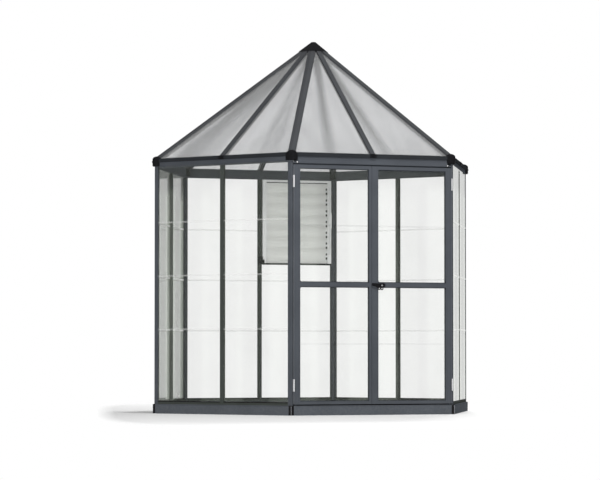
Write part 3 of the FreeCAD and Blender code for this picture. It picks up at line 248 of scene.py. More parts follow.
@dataclass
class SharedEffects:
    """Shader node groups that several finishes use, each made once, with noise scales in cells per metre."""

    patch_scale: float = 5.0
    noise_contrast: Pair = (0.3, 0.7)
    patch_roughness: float = 0.06
    speckle_scale: float = 90.0
    speckle_contrast: Pair = (0.4, 0.75)
    dust_top: float = 0.35
    dust_roughness: float = 0.3
    cloud_scale: float = 1.7
    cloud_shade: Pair = (0.93, 1.04)
    streak_scale: float = 10.0
    streak_contrast: Pair = (0.35, 0.65)
    streak_squeeze: float = 0.15
    smear_scale: float = 3.0
    smear_contrast: Pair = (0.45, 0.75)
    # Where the painted reflections fall: paler bands beside the posts, below the eaves.
    bay_middle: float = 0.293
    reflection_band_start: Pair = (0.1, 0.13)
    reflection_band_top: Pair = (1.53, 1.59)
    coat: bpy.types.NodeTree = field(init=False)
    flutes: bpy.types.NodeTree = field(init=False)
    smears_and_reflection_bands: bpy.types.NodeTree = field(init=False)

    def __post_init__(self) -> None:
        """Make every group."""
        self.coat = self._make_coat()
        self.flutes = self._make_flutes()
        self.smears_and_reflection_bands = self._make_smears_and_reflection_bands()

    @staticmethod
    def _start(
        name: str, inputs: dict[str, object], outputs: dict[str, str]
    ) -> tuple[bpy.types.NodeTree, NodeSheet]:
        """Start a group with named sockets.

        Args:
            name: The group's name.
            inputs: Each input's default, a colour or a number.
            outputs: Each output's socket type.

        Returns:
            The group and a sheet to add its nodes with.
        """
        tree = bpy.data.node_groups.new(name, "ShaderNodeTree")
        for label, default in inputs.items():
            kind = "NodeSocketFloat" if isinstance(default, float) else "NodeSocketColor"
            socket = tree.interface.new_socket(label, in_out="INPUT", socket_type=kind)
            socket.default_value = default
        for label, kind in outputs.items():
            tree.interface.new_socket(label, in_out="OUTPUT", socket_type=kind)
        return tree, NodeSheet(tree)

    def _make_coat(self) -> bpy.types.NodeTree:
        """Make the group for coated and moulded surfaces: mottling, fine grain, and dust near the ground.

        Returns:
            The group, with colour, roughness and height outputs.
        """
        tree, sheet = self._start(
            "coated_surface",
            {"Tone": (0.1, 0.1, 0.1, 1.0), "Dust": (0.3, 0.28, 0.25, 1.0), "Mottle": 0.08, "Grain": 900.0,
             "Roughness": 0.5, "Dust Amount": 0.2},
            {"Colour": "NodeSocketColor", "Roughness": "NodeSocketFloat", "Height": "NodeSocketFloat"},
        )
        given = sheet.add("NodeGroupInput").outputs
        place = sheet.add("ShaderNodeTexCoord").outputs["Object"]
        patches = sheet.noise(place, self.patch_scale, detail=4.0)
        low = sheet.math("SUBTRACT", 1.0, given["Mottle"])
        high = sheet.math("ADD", 1.0, given["Mottle"])
        tone = sheet.scale_colour(given["Tone"], sheet.spread(patches, *self.noise_contrast, low, high))
        nearness = sheet.spread(sheet.part(place, "Z"), 0.0, self.dust_top, 1.0, 0.0)
        specks = sheet.noise(place, self.speckle_scale, detail=6.0)
        settled = sheet.math("MULTIPLY", nearness, sheet.spread(specks, *self.speckle_contrast, 0.0, 1.0))
        dust = sheet.math("MULTIPLY", settled, given["Dust Amount"], clamp=True)
        mix = sheet.add("ShaderNodeMix", data_type="RGBA")
        sheet.feed(mix.inputs["Factor"], dust)
        sheet.feed(mix.inputs["A"], tone)
        sheet.feed(mix.inputs["B"], given["Dust"])
        change = sheet.spread(patches, *self.noise_contrast, -self.patch_roughness, self.patch_roughness)
        rough = sheet.math("ADD", given["Roughness"], change)
        dusty = sheet.math("ADD", rough, sheet.math("MULTIPLY", dust, self.dust_roughness), clamp=True)
        result = sheet.add("NodeGroupOutput").inputs
        sheet.feed(result["Colour"], mix.outputs["Result"])
        sheet.feed(result["Roughness"], dusty)
        sheet.feed(result["Height"], sheet.noise(place, given["Grain"], detail=2.0))
        return tree

    def _make_flutes(self) -> bpy.types.NodeTree:
        """Make the group for the flutes of hollow-walled sheet, which run down each roof slope.

        Returns:
            The group, with a height and a shade output.
        """
        tree, sheet = self._start(
            "sheet_flutes", {"Pitch": 0.01, "Streak": 0.05},
            {"Height": "NodeSocketFloat", "Shade": "NodeSocketFloat"},
        )
        given = sheet.add("NodeGroupInput").outputs
        place = sheet.add("ShaderNodeTexCoord").outputs["Object"]
        along = sheet.level_distance(place, sheet.add("ShaderNodeNewGeometry").outputs["True Normal"])
        turn = sheet.math("DIVIDE", sheet.math("MULTIPLY", along, math.tau), given["Pitch"])
        clouds = sheet.noise(place, self.cloud_scale, detail=3.0)
        cloud = sheet.spread(clouds, *self.noise_contrast, *self.cloud_shade)
        drawn_out = sheet.add("ShaderNodeCombineXYZ")
        sheet.feed(drawn_out.inputs["X"], along)
        sheet.feed(drawn_out.inputs["Y"], sheet.math("MULTIPLY", sheet.part(place, "Z"), self.streak_squeeze))
        streaks = sheet.noise(drawn_out.outputs[0], self.streak_scale, detail=2.0)
        low = sheet.math("SUBTRACT", 1.0, given["Streak"])
        streak = sheet.spread(streaks, *self.streak_contrast, low, 1.0)
        result = sheet.add("NodeGroupOutput").inputs
        sheet.feed(result["Height"], sheet.math("SINE", turn))
        sheet.feed(result["Shade"], sheet.math("MULTIPLY", cloud, streak))
        return tree

    def _make_smears_and_reflection_bands(self) -> bpy.types.NodeTree:
        """Make the group for clear panes: faint smears, and painted reflections as paler bands beside the
        posts, below the eaves.

        Returns:
            The group, with a smear mask, a mask of the painted reflection bands and a roughness output.
        """
        tree, sheet = self._start(
            "pane_smears_and_painted_reflections", {"Roughness": 0.03, "Smear": 0.1},
            {"Mask": "NodeSocketFloat", "Painted Reflection": "NodeSocketFloat", "Roughness": "NodeSocketFloat"},
        )
        given = sheet.add("NodeGroupInput").outputs
        coordinates = sheet.add("ShaderNodeTexCoord").outputs
        place = coordinates["Object"]
        along = sheet.math("ABSOLUTE", sheet.level_distance(place, coordinates["Normal"]))
        aside = sheet.math("ABSOLUTE", sheet.math("SUBTRACT", along, self.bay_middle))
        # Bands beside the posts and below the eaves, where the panes' colour is made paler: painted
        # reflection.
        below = sheet.spread(sheet.part(place, "Z"), *self.reflection_band_top, 1.0, 0.0)
        band = sheet.math("MULTIPLY", sheet.spread(aside, *self.reflection_band_start, 0.0, 1.0), below)
        smears = sheet.noise(place, self.smear_scale, detail=6.0)
        smear = sheet.spread(smears, *self.smear_contrast, 0.0, 1.0)
        rough = sheet.math("ADD", given["Roughness"], sheet.math("MULTIPLY", smear, given["Smear"]))
        result = sheet.add("NodeGroupOutput").inputs
        sheet.feed(result["Mask"], smear)
        sheet.feed(result["Painted Reflection"], band)
        sheet.feed(result["Roughness"], rough)
        return tree


def principled(name: str) -> tuple[bpy.types.Material, NodeSheet, bpy.types.Node]:
    """Start a material.

    Args:
        name: The material's name.

    Returns:
        The material, a sheet for its nodes, and its Principled shader.
    """
    material = bpy.data.materials.new(name)
    material.use_nodes = True
    sheet = NodeSheet(material.node_tree)
    shader = next(node for node in material.node_tree.nodes if node.type == "BSDF_PRINCIPLED")
    return material, sheet, shader


def add_bump(
    sheet: NodeSheet, shader: bpy.types.Node, height: object, strength: float, distance: float
) -> None:
    """Feed a height to a shader's normal through a bump node.

    Args:
        sheet: The sheet to add the node to.
        shader: The shader.
        height: The height's socket.
        strength: The bump's strength.
        distance: The height of the bumps.
    """
    bump = sheet.add("ShaderNodeBump")
    sheet.feed(bump.inputs["Height"], height)
    sheet.feed(bump.inputs["Strength"], strength)
    sheet.feed(bump.inputs["Distance"], distance)
    sheet.feed(shader.inputs["Normal"], bump.outputs["Normal"])


@dataclass(frozen=True)
class CoatedFinish:
    """An opaque finish: powder coat, moulded plastic or bare metal."""

    name: str
    tone: Colour
    roughness: float
    metallic: float = 0.0
    mottle: float = 0.08
    grain: float = 900.0
    bump: float = 0.12
    bump_height: float = 0.0006
    dust: float = 0.05
    specular: float = 0.2

    def make(self, effects: SharedEffects) -> bpy.types.Material:
        """Make the material.

        Args:
            effects: The shared node groups.

        Returns:
            The new material.
        """
        material, sheet, shader = principled(self.name)
        coat = sheet.add("ShaderNodeGroup", node_tree=effects.coat)
        sheet.feed(coat.inputs["Tone"], (*self.tone, 1.0))
        sheet.feed(coat.inputs["Mottle"], self.mottle)
        sheet.feed(coat.inputs["Grain"], self.grain)
        sheet.feed(coat.inputs["Roughness"], self.roughness)
        sheet.feed(coat.inputs["Dust Amount"], self.dust)
        sheet.feed(shader.inputs["Base Color"], coat.outputs["Colour"])
        sheet.feed(shader.inputs["Roughness"], coat.outputs["Roughness"])
        shader.inputs["Metallic"].default_value = self.metallic
        shader.inputs["Specular IOR Level"].default_value = self.specular
        add_bump(sheet, shader, coat.outputs["Height"], self.bump, self.bump_height)
        return material


@dataclass(frozen=True)
class PaneFinish:
    """A clear or tinted sheet that shows more of itself where it is seen edge on."""

    name: str
    tone: Colour
    facing_alpha: float
    grazing_alpha: float
    roughness: float
    specular: float
    # How much paler the colour is in the bands beside the posts: painted reflection.
    painted_reflection_gain: float | None = None
    edge_blend: float = 0.35
    edge_range: Pair = (0.42, 0.8)
    smear_alpha: float = 0.02

    def make(self, effects: SharedEffects) -> bpy.types.Material:
        """Make the material.

        Args:
            effects: The shared node groups.

        Returns:
            The new material.
        """
        material, sheet, shader = principled(self.name)
        smears_and_reflection_bands = sheet.add("ShaderNodeGroup", node_tree=effects.smears_and_reflection_bands)
        sheet.feed(smears_and_reflection_bands.inputs["Roughness"], self.roughness)
        sheet.feed(shader.inputs["Roughness"], smears_and_reflection_bands.outputs["Roughness"])
        # Paler colour in the bands beside the posts: painted reflection.
        if self.painted_reflection_gain:
            painted_reflection = sheet.spread(smears_and_reflection_bands.outputs["Painted Reflection"], 0.0, 1.0, 1.0, self.painted_reflection_gain)
            sheet.feed(shader.inputs["Base Color"], sheet.scale_colour(self.tone, painted_reflection))
        else:
            shader.inputs["Base Color"].default_value = (*self.tone, 1.0)
        shader.inputs["Specular IOR Level"].default_value = self.specular
        edge = sheet.add("ShaderNodeLayerWeight")
        edge.inputs["Blend"].default_value = self.edge_blend
        alpha = sheet.spread(edge.outputs["Facing"], *self.edge_range, self.facing_alpha, self.grazing_alpha)
        smear = sheet.math("MULTIPLY", smears_and_reflection_bands.outputs["Mask"], self.smear_alpha)
        sheet.feed(shader.inputs["Alpha"], sheet.math("ADD", alpha, smear, clamp=True))
        return material


@dataclass(frozen=True)
class FrostedFinish:
    """A fluted translucent sheet that blurs what is behind it."""

    name: str
    tone: Colour
    roughness: float
    flute_pitch: float
    bump: float
    transmission: float
    streak: float
    refraction: float
    bump_height: float = 0.0005

    def make(self, effects: SharedEffects) -> bpy.types.Material:
        """Make the material.

        Args:
            effects: The shared node groups.

        Returns:
            The new material.
        """
        material, sheet, shader = principled(self.name)
        flutes = sheet.add("ShaderNodeGroup", node_tree=effects.flutes)
        sheet.feed(flutes.inputs["Pitch"], self.flute_pitch)
        sheet.feed(flutes.inputs["Streak"], self.streak)
        sheet.feed(shader.inputs["Base Color"], sheet.scale_colour(self.tone, flutes.outputs["Shade"]))
        shader.inputs["Roughness"].default_value = self.roughness
        shader.inputs["IOR"].default_value = self.refraction
        shader.inputs["Transmission Weight"].default_value = self.transmission
        add_bump(sheet, shader, flutes.outputs["Height"], self.bump, self.bump_height)
        return material


Finish = CoatedFinish | PaneFinish | FrostedFinish


@dataclass
class FinishBook:
    """Every finish of the greenhouse, and the CAD nodes that wear it."""

    effects: SharedEffects
    profile: CoatedFinish = CoatedFinish(
        "slate_powder_coat", tone=(0.063, 0.069, 0.079), roughness=0.5, specular=0.0)
    base: CoatedFinish = CoatedFinish(
        "base_powder_coat", tone=(0.074, 0.082, 0.094), roughness=0.55, dust=0.1, specular=0.0)
    # A darker, greener copy of the profile coat for the middle posts and sills behind the panes: painted
    # shade.
    inner: CoatedFinish = CoatedFinish(
        "painted_shade_powder_coat", tone=(0.05, 0.056, 0.051), roughness=0.5, dust=0.0, specular=0.0)
    rib: CoatedFinish = CoatedFinish(
        "rib_powder_coat", tone=(0.052, 0.054, 0.058), roughness=0.5, specular=0.0)
    black: CoatedFinish = CoatedFinish(
        "black_moulded_plastic", tone=(0.009, 0.009, 0.01), roughness=0.5, grain=1500.0, bump=0.25,
        specular=0.01)
    trim: CoatedFinish = CoatedFinish(
        "gutter_dark_coat", tone=(0.022, 0.024, 0.027), roughness=0.55, specular=0.0)
    seal: CoatedFinish = CoatedFinish(
        "dark_rubber_seal", tone=(0.035, 0.038, 0.043), roughness=0.7, grain=2200.0, specular=0.0)
    # Darker than the profile coat, for the fine lines on stiles and rails and the strip between the leaves:
    # painted groove and gap shade.
    line: CoatedFinish = CoatedFinish(
        "painted_groove_shade", tone=(0.045, 0.049, 0.057), roughness=0.6, specular=0.0)
    white: CoatedFinish = CoatedFinish(
        "white_moulded_plastic", tone=(0.93, 0.94, 0.93), roughness=0.4, mottle=0.03, grain=1500.0)
    edge: CoatedFinish = CoatedFinish(
        "edge_seal_grey", tone=(0.12, 0.128, 0.14), roughness=0.6, specular=0.0)
    ridge: CoatedFinish = CoatedFinish(
        "connector_ridge_grey", tone=(0.26, 0.27, 0.29), roughness=0.6, specular=0.0)
    hinge: CoatedFinish = CoatedFinish(
        "satin_hinge_metal", tone=(0.62, 0.62, 0.63), roughness=0.38, metallic=0.2, mottle=0.05)
    steel: CoatedFinish = CoatedFinish(
        "zinc_plated_steel", tone=(0.7, 0.7, 0.72), roughness=0.3, metallic=0.9, mottle=0.1)
    # The clear sheet's colour is made paler in bands beside the posts: painted reflection.
    pane: PaneFinish = PaneFinish(
        "clear_sheet", tone=(0.2, 0.22, 0.19), facing_alpha=0.06, grazing_alpha=0.88, roughness=0.02,
        specular=0.8, painted_reflection_gain=2.7)
    strip: PaneFinish = PaneFinish(
        "clear_joint_strip", tone=(0.93, 0.94, 0.92), facing_alpha=0.09, grazing_alpha=0.85, roughness=0.3,
        specular=0.0)
    door_strip: PaneFinish = PaneFinish(
        "door_joint_strip", tone=(0.05, 0.055, 0.05), facing_alpha=0.02, grazing_alpha=0.2, roughness=0.3,
        specular=0.0)
    blade: FrostedFinish = FrostedFinish(
        "opal_blade", tone=(0.94, 0.95, 0.92), roughness=0.6, flute_pitch=0.03, bump=0.02, transmission=0.24,
        streak=0.01, refraction=1.5)
    roof: FrostedFinish = FrostedFinish(
        "twin_wall_sheet", tone=(0.775, 0.78, 0.785), roughness=0.08, flute_pitch=0.012, bump=0.15,
        transmission=0.82, streak=0.09, refraction=1.15)
    made: dict[str, bpy.types.Material] = field(default_factory=dict)

    def material(self, finish: Finish) -> bpy.types.Material:
        """Get the material of a finish, made on first use.

        Args:
            finish: The finish.

        Returns:
            Its material.
        """
        if finish.name not in self.made:
            self.made[finish.name] = finish.make(self.effects)
        return self.made[finish.name]

    def finish_of(self, node: str) -> Finish:
        """Choose the finish of a CAD node.

        Args:
            node: The node's name.

        Returns:
            Its finish.
        """
        exact = {
            "base_rails": self.base, "base_corner_connectors": self.black, "roof_panels": self.roof,
            "gutter_trims": self.trim, "eave_corner_caps": self.black, "rib_feet": self.black,
            "apex_cap": self.black, "apex_hub": self.black, "apex_bolt": self.steel, "eave_bolts": self.black,
            # The threshold is black so that the gap under the doors reads as a dark line: painted shade.
            "door_magnets": self.black, "door_threshold": self.black, "handle_backplate": self.black,
            "door_handle": self.black, "latch_tongue": self.black, "louvre_jambs": self.white,
            "louvre_head": self.white, "louvre_lever": self.white, "louvre_link_bar": self.white,
            "hip_ribs": self.rib, "middle_ribs": self.rib, "middle_posts": self.inner,
            "sill_rails": self.inner, "wall_pane_strips": self.strip,
        }
        if node in exact:
            return exact[node]
        endings = {
            "_panes": self.pane, "_pane_strips": self.door_strip, "_gussets": self.black,
            "hinge_leaves": self.hinge, "hinge_post_leaves": self.hinge, "hinge_pins": self.hinge,
        }
        for ending, finish in endings.items():
            if node.endswith(ending):
                return finish
        if node.startswith("louvre_blade"):
            return self.blade
        if node.startswith("louvre_clips"):
            return self.white
        return self.profile

    def dress(self, nodes: dict[str, bpy.types.Object]) -> None:
        """Give every CAD node its material.

        Args:
            nodes: The frame's node objects by name.
        """
        for name, node in nodes.items():
            material = self.material(self.finish_of(name))
            node.data.materials.clear()
            node.data.materials.append(material)
        log.info("dressed %d CAD nodes", len(nodes))


@dataclass(frozen=True)
class Lamp:
    """A round soft lamp that faces the object."""

    name: str
    place: Point
    energy: float
    size: float
    aim: Point = (0.0, 0.0, 1.0)

    def hang(self) -> None:
        """Hang the lamp, unseen through the sheets and in reflections."""
        lamp = bpy.data.lights.new(self.name, "AREA")
        lamp.shape = "DISK"
        lamp.size = self.size
        lamp.energy = self.energy
        holder = bpy.data.objects.new(self.name, lamp)
        holder.location = self.place
        way = Vector(self.aim) - Vector(self.place)
        holder.rotation_euler = way.to_track_quat("-Z", "Y").to_euler()
        holder.visible_transmission = False
        holder.visible_glossy = False
        bpy.context.scene.collection.objects.link(holder)


@dataclass
class Studio:
    """Floor, lamps and camera, which aren't part of the object. Angles are in degrees."""

    camera_at: Point = (-8.4152, -19.9816, 0.4334)
    camera_yaw: float = 22.5822
    camera_pitch: float = 2.0917
    camera_reach: float = 200.0
    focal_pixels: float = 3042.78
    photo_width: int = 600
    sensor: float = 36.0
    floor_half: float = 40.0
    floor_tone: float = 0.67
    floor_roughness: float = 0.9
    fade_across: float = 1.54
    fade_along: float = 4.4
    fade_start: float = 0.92
    fade_turn: float = 3.9
    fade_squareness: float = 4.0
    ambient: float = 0.43
    lamps: tuple[Lamp, ...] = (
        Lamp("lamp_behind", (2.9, 3.3, 5.6), energy=450.0, size=1.6),
        Lamp("lamp_above", (0.4, -4.9, 6.6), energy=360.0, size=2.0),
        Lamp("lamp_in_front", (-6.4, -7.4, 2.6), energy=440.0, size=4.0),
    )

    def make_camera(self) -> None:
        """Place the camera at the photograph's viewpoint."""
        data = bpy.data.cameras.new("photo_camera")
        data.sensor_fit = "HORIZONTAL"
        data.sensor_width = self.sensor
        data.lens = self.focal_pixels / self.photo_width * self.sensor
        data.clip_end = self.camera_reach
        camera = bpy.data.objects.new("photo_camera", data)
        camera.location = self.camera_at
        camera.rotation_euler = (math.radians(90 + self.camera_pitch), 0.0, -math.radians(self.camera_yaw))
        bpy.context.scene.collection.objects.link(camera)
        bpy.context.scene.camera = camera

    def make_world(self) -> None:
        """Make a white world that lights the object softly."""
        world = bpy.data.worlds.new("studio")
        world.use_nodes = True
        bpy.context.scene.world = world
        sheet = NodeSheet(world.node_tree)
        background = next(node for node in world.node_tree.nodes if node.type == "BACKGROUND")
        background.inputs["Color"].default_value = (1.0, 1.0, 1.0, 1.0)
        seen = self.seen_mask(sheet)
        sheet.feed(background.inputs["Strength"], sheet.spread(seen, 0.0, 1.0, self.ambient, 1.0))

    @staticmethod
    def seen_mask(sheet: NodeSheet) -> bpy.types.NodeSocket:
        """Add a mask of the rays that should see a white background.

        Args:
            sheet: The sheet to add the nodes to.

        Returns:
            The mask's socket.
        """
        path = sheet.add("ShaderNodeLightPath").outputs
        seen = sheet.math("MAXIMUM", path["Is Camera Ray"], path["Is Glossy Ray"])
        return sheet.math("MAXIMUM", seen, path["Is Transmission Ray"])

    def fade_mask(self, sheet: NodeSheet) -> bpy.types.NodeSocket:
        """Add a mask of the floor away from the object, outside a rounded and turned oblong.

        Args:
            sheet: The sheet to add the nodes to.

        Returns:
            The mask's socket.
        """
        turned = sheet.add("ShaderNodeMapping", vector_type="TEXTURE")
        sheet.feed(turned.inputs["Vector"], sheet.add("ShaderNodeTexCoord").outputs["Object"])
        turn = -math.radians(self.camera_yaw - self.fade_turn)
        turned.inputs["Rotation"].default_value = (0.0, 0.0, turn)
        turned.inputs["Scale"].default_value = (1.0, self.fade_along / self.fade_across, 1.0)
        powers = []
        for way in ("X", "Y"):
            distance = sheet.math("ABSOLUTE", sheet.part(turned.outputs[0], way))
            powers.append(sheet.math("POWER", distance, self.fade_squareness))
        reach = sheet.math("POWER", sheet.math("ADD", *powers), 1.0 / self.fade_squareness)
        return sheet.spread(reach, self.fade_start * self.fade_across, self.fade_across, 0.0, 1.0)

    def make_floor(self) -> None:
        """Make the pale floor, which fades to white away from the object."""
        mesh = bpy.data.meshes.new("floor")
        half = self.floor_half
        corners = [(-half, -half, 0.0), (half, -half, 0.0), (half, half, 0.0), (-half, half, 0.0)]
        mesh.from_pydata(corners, [], [(0, 1, 2, 3)])
        floor = bpy.data.objects.new("floor", mesh)
        bpy.context.scene.collection.objects.link(floor)
        material, sheet, shader = principled("studio_floor")
        shader.inputs["Base Color"].default_value = (self.floor_tone, self.floor_tone, self.floor_tone, 1.0)
        shader.inputs["Roughness"].default_value = self.floor_roughness
        shader.inputs["Specular IOR Level"].default_value = 0.0
        glow = sheet.add("ShaderNodeEmission")
        blend = sheet.add("ShaderNodeMixShader")
        sheet.feed(blend.inputs[0], sheet.math("MULTIPLY", self.fade_mask(sheet), self.seen_mask(sheet)))
        sheet.feed(blend.inputs[1], shader.outputs[0])
        sheet.feed(blend.inputs[2], glow.outputs[0])
        output = next(node for node in material.node_tree.nodes if node.type == "OUTPUT_MATERIAL")
        sheet.feed(output.inputs["Surface"], blend.outputs[0])
        mesh.materials.append(material)

    def build(self) -> None:
        """Make the camera, world, floor and lamps."""
        bpy.context.scene.view_settings.view_transform = "Standard"
        self.make_camera()
        self.make_world()
        self.make_floor()
        for lamp in self.lamps:
            lamp.hang()
        log.info("studio ready")


class MeshWork:
    """A mesh under construction, in the row frame or in a frame turned from it."""

    def __init__(self) -> None:
        """Start an empty mesh in the row frame."""
        self.mesh = bmesh.new()
        self.frame = Matrix.Identity(4)

    def vertex(self, point: Vector | Point) -> bmesh.types.BMVert:
        """Add a vertex at a point of the current frame."""
        return self.mesh.verts.new(self.frame @ Vector(point))

    def prism(self, outline: list[Point], along: Point, bevel: float = 0.0, steps: int = 2) -> None:
        """Add a solid swept from an outline.

        Args:
            outline: The corners of its first face.
            along: The way and distance of the sweep.
            bevel: The width of its rounded edges.
            steps: The facets across each rounded edge.
        """
        first = [self.vertex(point) for point in outline]
        last = [self.vertex(Vector(point) + Vector(along)) for point in outline]
        faces = [self.mesh.faces.new(first[::-1]), self.mesh.faces.new(last)]
        for i, corner in enumerate(first):
            j = (i + 1) % len(first)
            faces.append(self.mesh.faces.new((corner, first[j], last[j], last[i])))
        if bevel:
            edges = list({edge for face in faces for edge in face.edges})
            bmesh.ops.bevel(self.mesh, geom=edges, offset=bevel, segments=steps, profile=ROUND_PROFILE,
                            affect="EDGES", clamp_overlap=True)

    def block(self, low: Vector | Point, high: Vector | Point, bevel: float, steps: int = 2) -> None:
        """Add a block with rounded edges.

        Args:
            low: Its lowest corner.
            high: Its highest corner.
            bevel: The width of its rounded edges.
            steps: The facets across each rounded edge.
        """
        outline = [(low[0], low[1], low[2]), (high[0], low[1], low[2]), (high[0], high[1], low[2]),
                   (low[0], high[1], low[2])]
        self.prism(outline, (0.0, 0.0, high[2] - low[2]), bevel, steps)

    def band(self, rings: list[list[bmesh.types.BMVert]], closed: bool) -> None:
        """Join rings of vertices with faces.

        Args:
            rings: The rings in order, where a ring of one vertex is a point.
            closed: Whether the last ring joins the first.
        """
        count = max(len(ring) for ring in rings)
        pairs = list(zip(rings, rings[1:])) + ([(rings[-1], rings[0])] if closed else [])
        for first, second in pairs:
            for i in range(count):
                j = (i + 1) % count
                corners = [first[i % len(first)], first[j % len(first)],
                           second[j % len(second)], second[i % len(second)]]
                self.mesh.faces.new(list(dict.fromkeys(corners)))

    @staticmethod
    def directions(axis: Point) -> tuple[Vector, Vector, Vector]:
        """Find two directions at right angles to an axis.

        Args:
            axis: The unit direction of the axis.

        Returns:
            The axis and the two directions.
        """
        along = Vector(axis)
        side = along.orthogonal().normalized()
        return along, side, along.cross(side)

    def circle(
        self, centre: Vector, side: Vector, other: Vector, radius: float, steps: int
    ) -> list[bmesh.types.BMVert]:
        """Add a ring of vertices.

        Args:
            centre: The ring's middle.
            side: A unit direction in its plane.
            other: The direction at right angles to it.
            radius: The ring's radius, or 0 for a single vertex.
            steps: The vertices round it.

        Returns:
            The new vertices.
        """
        if radius == 0.0:
            return [self.vertex(centre)]
        turns = [math.tau * i / steps for i in range(steps)]
        ways = [side * math.cos(turn) + other * math.sin(turn) for turn in turns]
        return [self.vertex(centre + way * radius) for way in ways]

    def lathe(self, profile: Iterable[Pair], centre: Point, axis: Point, steps: int = 24) -> None:
        """Add a turned solid.

        Args:
            profile: Radius and height along the axis, from one end to the other.
            centre: The point at height 0.
            axis: The unit direction of the axis.
            steps: The facets round it.
        """
        along, side, other = self.directions(axis)
        rings = []
        for radius, height in profile:
            rings.append(self.circle(Vector(centre) + along * height, side, other, radius, steps))
        self.band(rings, closed=False)

    def loop(
        self, centre: Point, axis: Point, radius: float, wire: float, steps: int = 28, wire_steps: int = 12
    ) -> None:
        """Add a closed round loop of wire.

        Args:
            centre: The loop's middle.
            axis: The unit direction that it turns about.
            radius: The radius to the wire's middle.
            wire: The wire's radius.
            steps: The sections round the loop.
            wire_steps: The facets round the wire.
        """
        along, side, other = self.directions(axis)
        rings = []
        for i in range(steps):
            turn = math.tau * i / steps
            out = side * math.cos(turn) + other * math.sin(turn)
            rings.append(self.circle(Vector(centre) + out * radius, out, along, wire, wire_steps))
        self.band(rings, closed=True)

    def surround(
        self, low: Pair, high: Pair, width: float, front: float, back: float, lip: float, flat: float = 0.6
    ) -> None:
        """Add a bead round the inside of an upright opening, with a sloping lip.

        Args:
            low: The opening's lowest X and Z.
            high: The opening's highest X and Z.
            width: How far the bead reaches into the opening.
            front: The Y of its outer edge.
            back: The Y of its inner edge, against the pane.
            lip: How much further in the lip reaches at the pane.
            flat: The share of the width that its front face takes.
        """
        def corners(inset: float, y: float) -> list[bmesh.types.BMVert]:
            """Add the four corners of the opening, moved in by an inset, at a depth."""
            x0, z0, x1, z1 = low[0] + inset, low[1] + inset, high[0] - inset, high[1] - inset
            return [self.vertex(point) for point in ((x0, y, z0), (x1, y, z0), (x1, y, z1), (x0, y, z1))]

        middle = (front + back) / 2
        rings = [corners(0.0, front), corners(width * flat, front), corners(width, middle),
                 corners(width + lip, back), corners(0.0, back)]
        self.band(rings, closed=True)

    def finish(self, name: str, material: bpy.types.Material, body: str, slot: Slot) -> bpy.types.Object:
        """Turn the mesh into a piece that rides a body.

        Args:
            name: The piece's name.
            material: Its material.
            body: The body that it moves with.
            slot: A material slot's name; not used.

        Returns:
            The piece.
        """
        bmesh.ops.recalc_face_normals(self.mesh, faces=self.mesh.faces)
        data = bpy.data.meshes.new(name)
        self.mesh.to_mesh(data)
        self.mesh.free()
        data.shade_smooth()
        data.set_sharp_from_angle(angle=math.radians(SMOOTH_TURN))
        data.materials.append(material)
        piece = bpy.data.objects.new(name, data)
        bpy.context.scene.collection.objects.link(piece)
        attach(piece, body)
        log.info("made %s", name)
        return piece


def wall_frame(wall: float) -> Matrix:
    """Return the frame that carries the front wall's shapes to another wall, or by a half to a corner."""
    return Matrix.Rotation(math.radians(WALL_TURN * wall), 4, "Z")


@dataclass(frozen=True)
class DrawnLine:
    """A fine upright line along the face of a profile, in a darker colour that paints a groove's shade."""

    half: float = 0.0008
    proud: float = 0.0002
    sunk: float = 0.0003
    bevel: float = 0.0002

    def add(self, work: MeshWork, x: float, face: float, ends: Pair) -> None:
        """Add a line to a mesh.

        Args:
            work: The mesh.
            x: The X of the line's middle.
            face: The Y of the profile's face.
            ends: The Z of the line's ends.
        """
        low = (x - self.half, face - self.proud, ends[0])
        high = (x + self.half, face + self.sunk, ends[1])
        work.block(low, high, self.bevel)


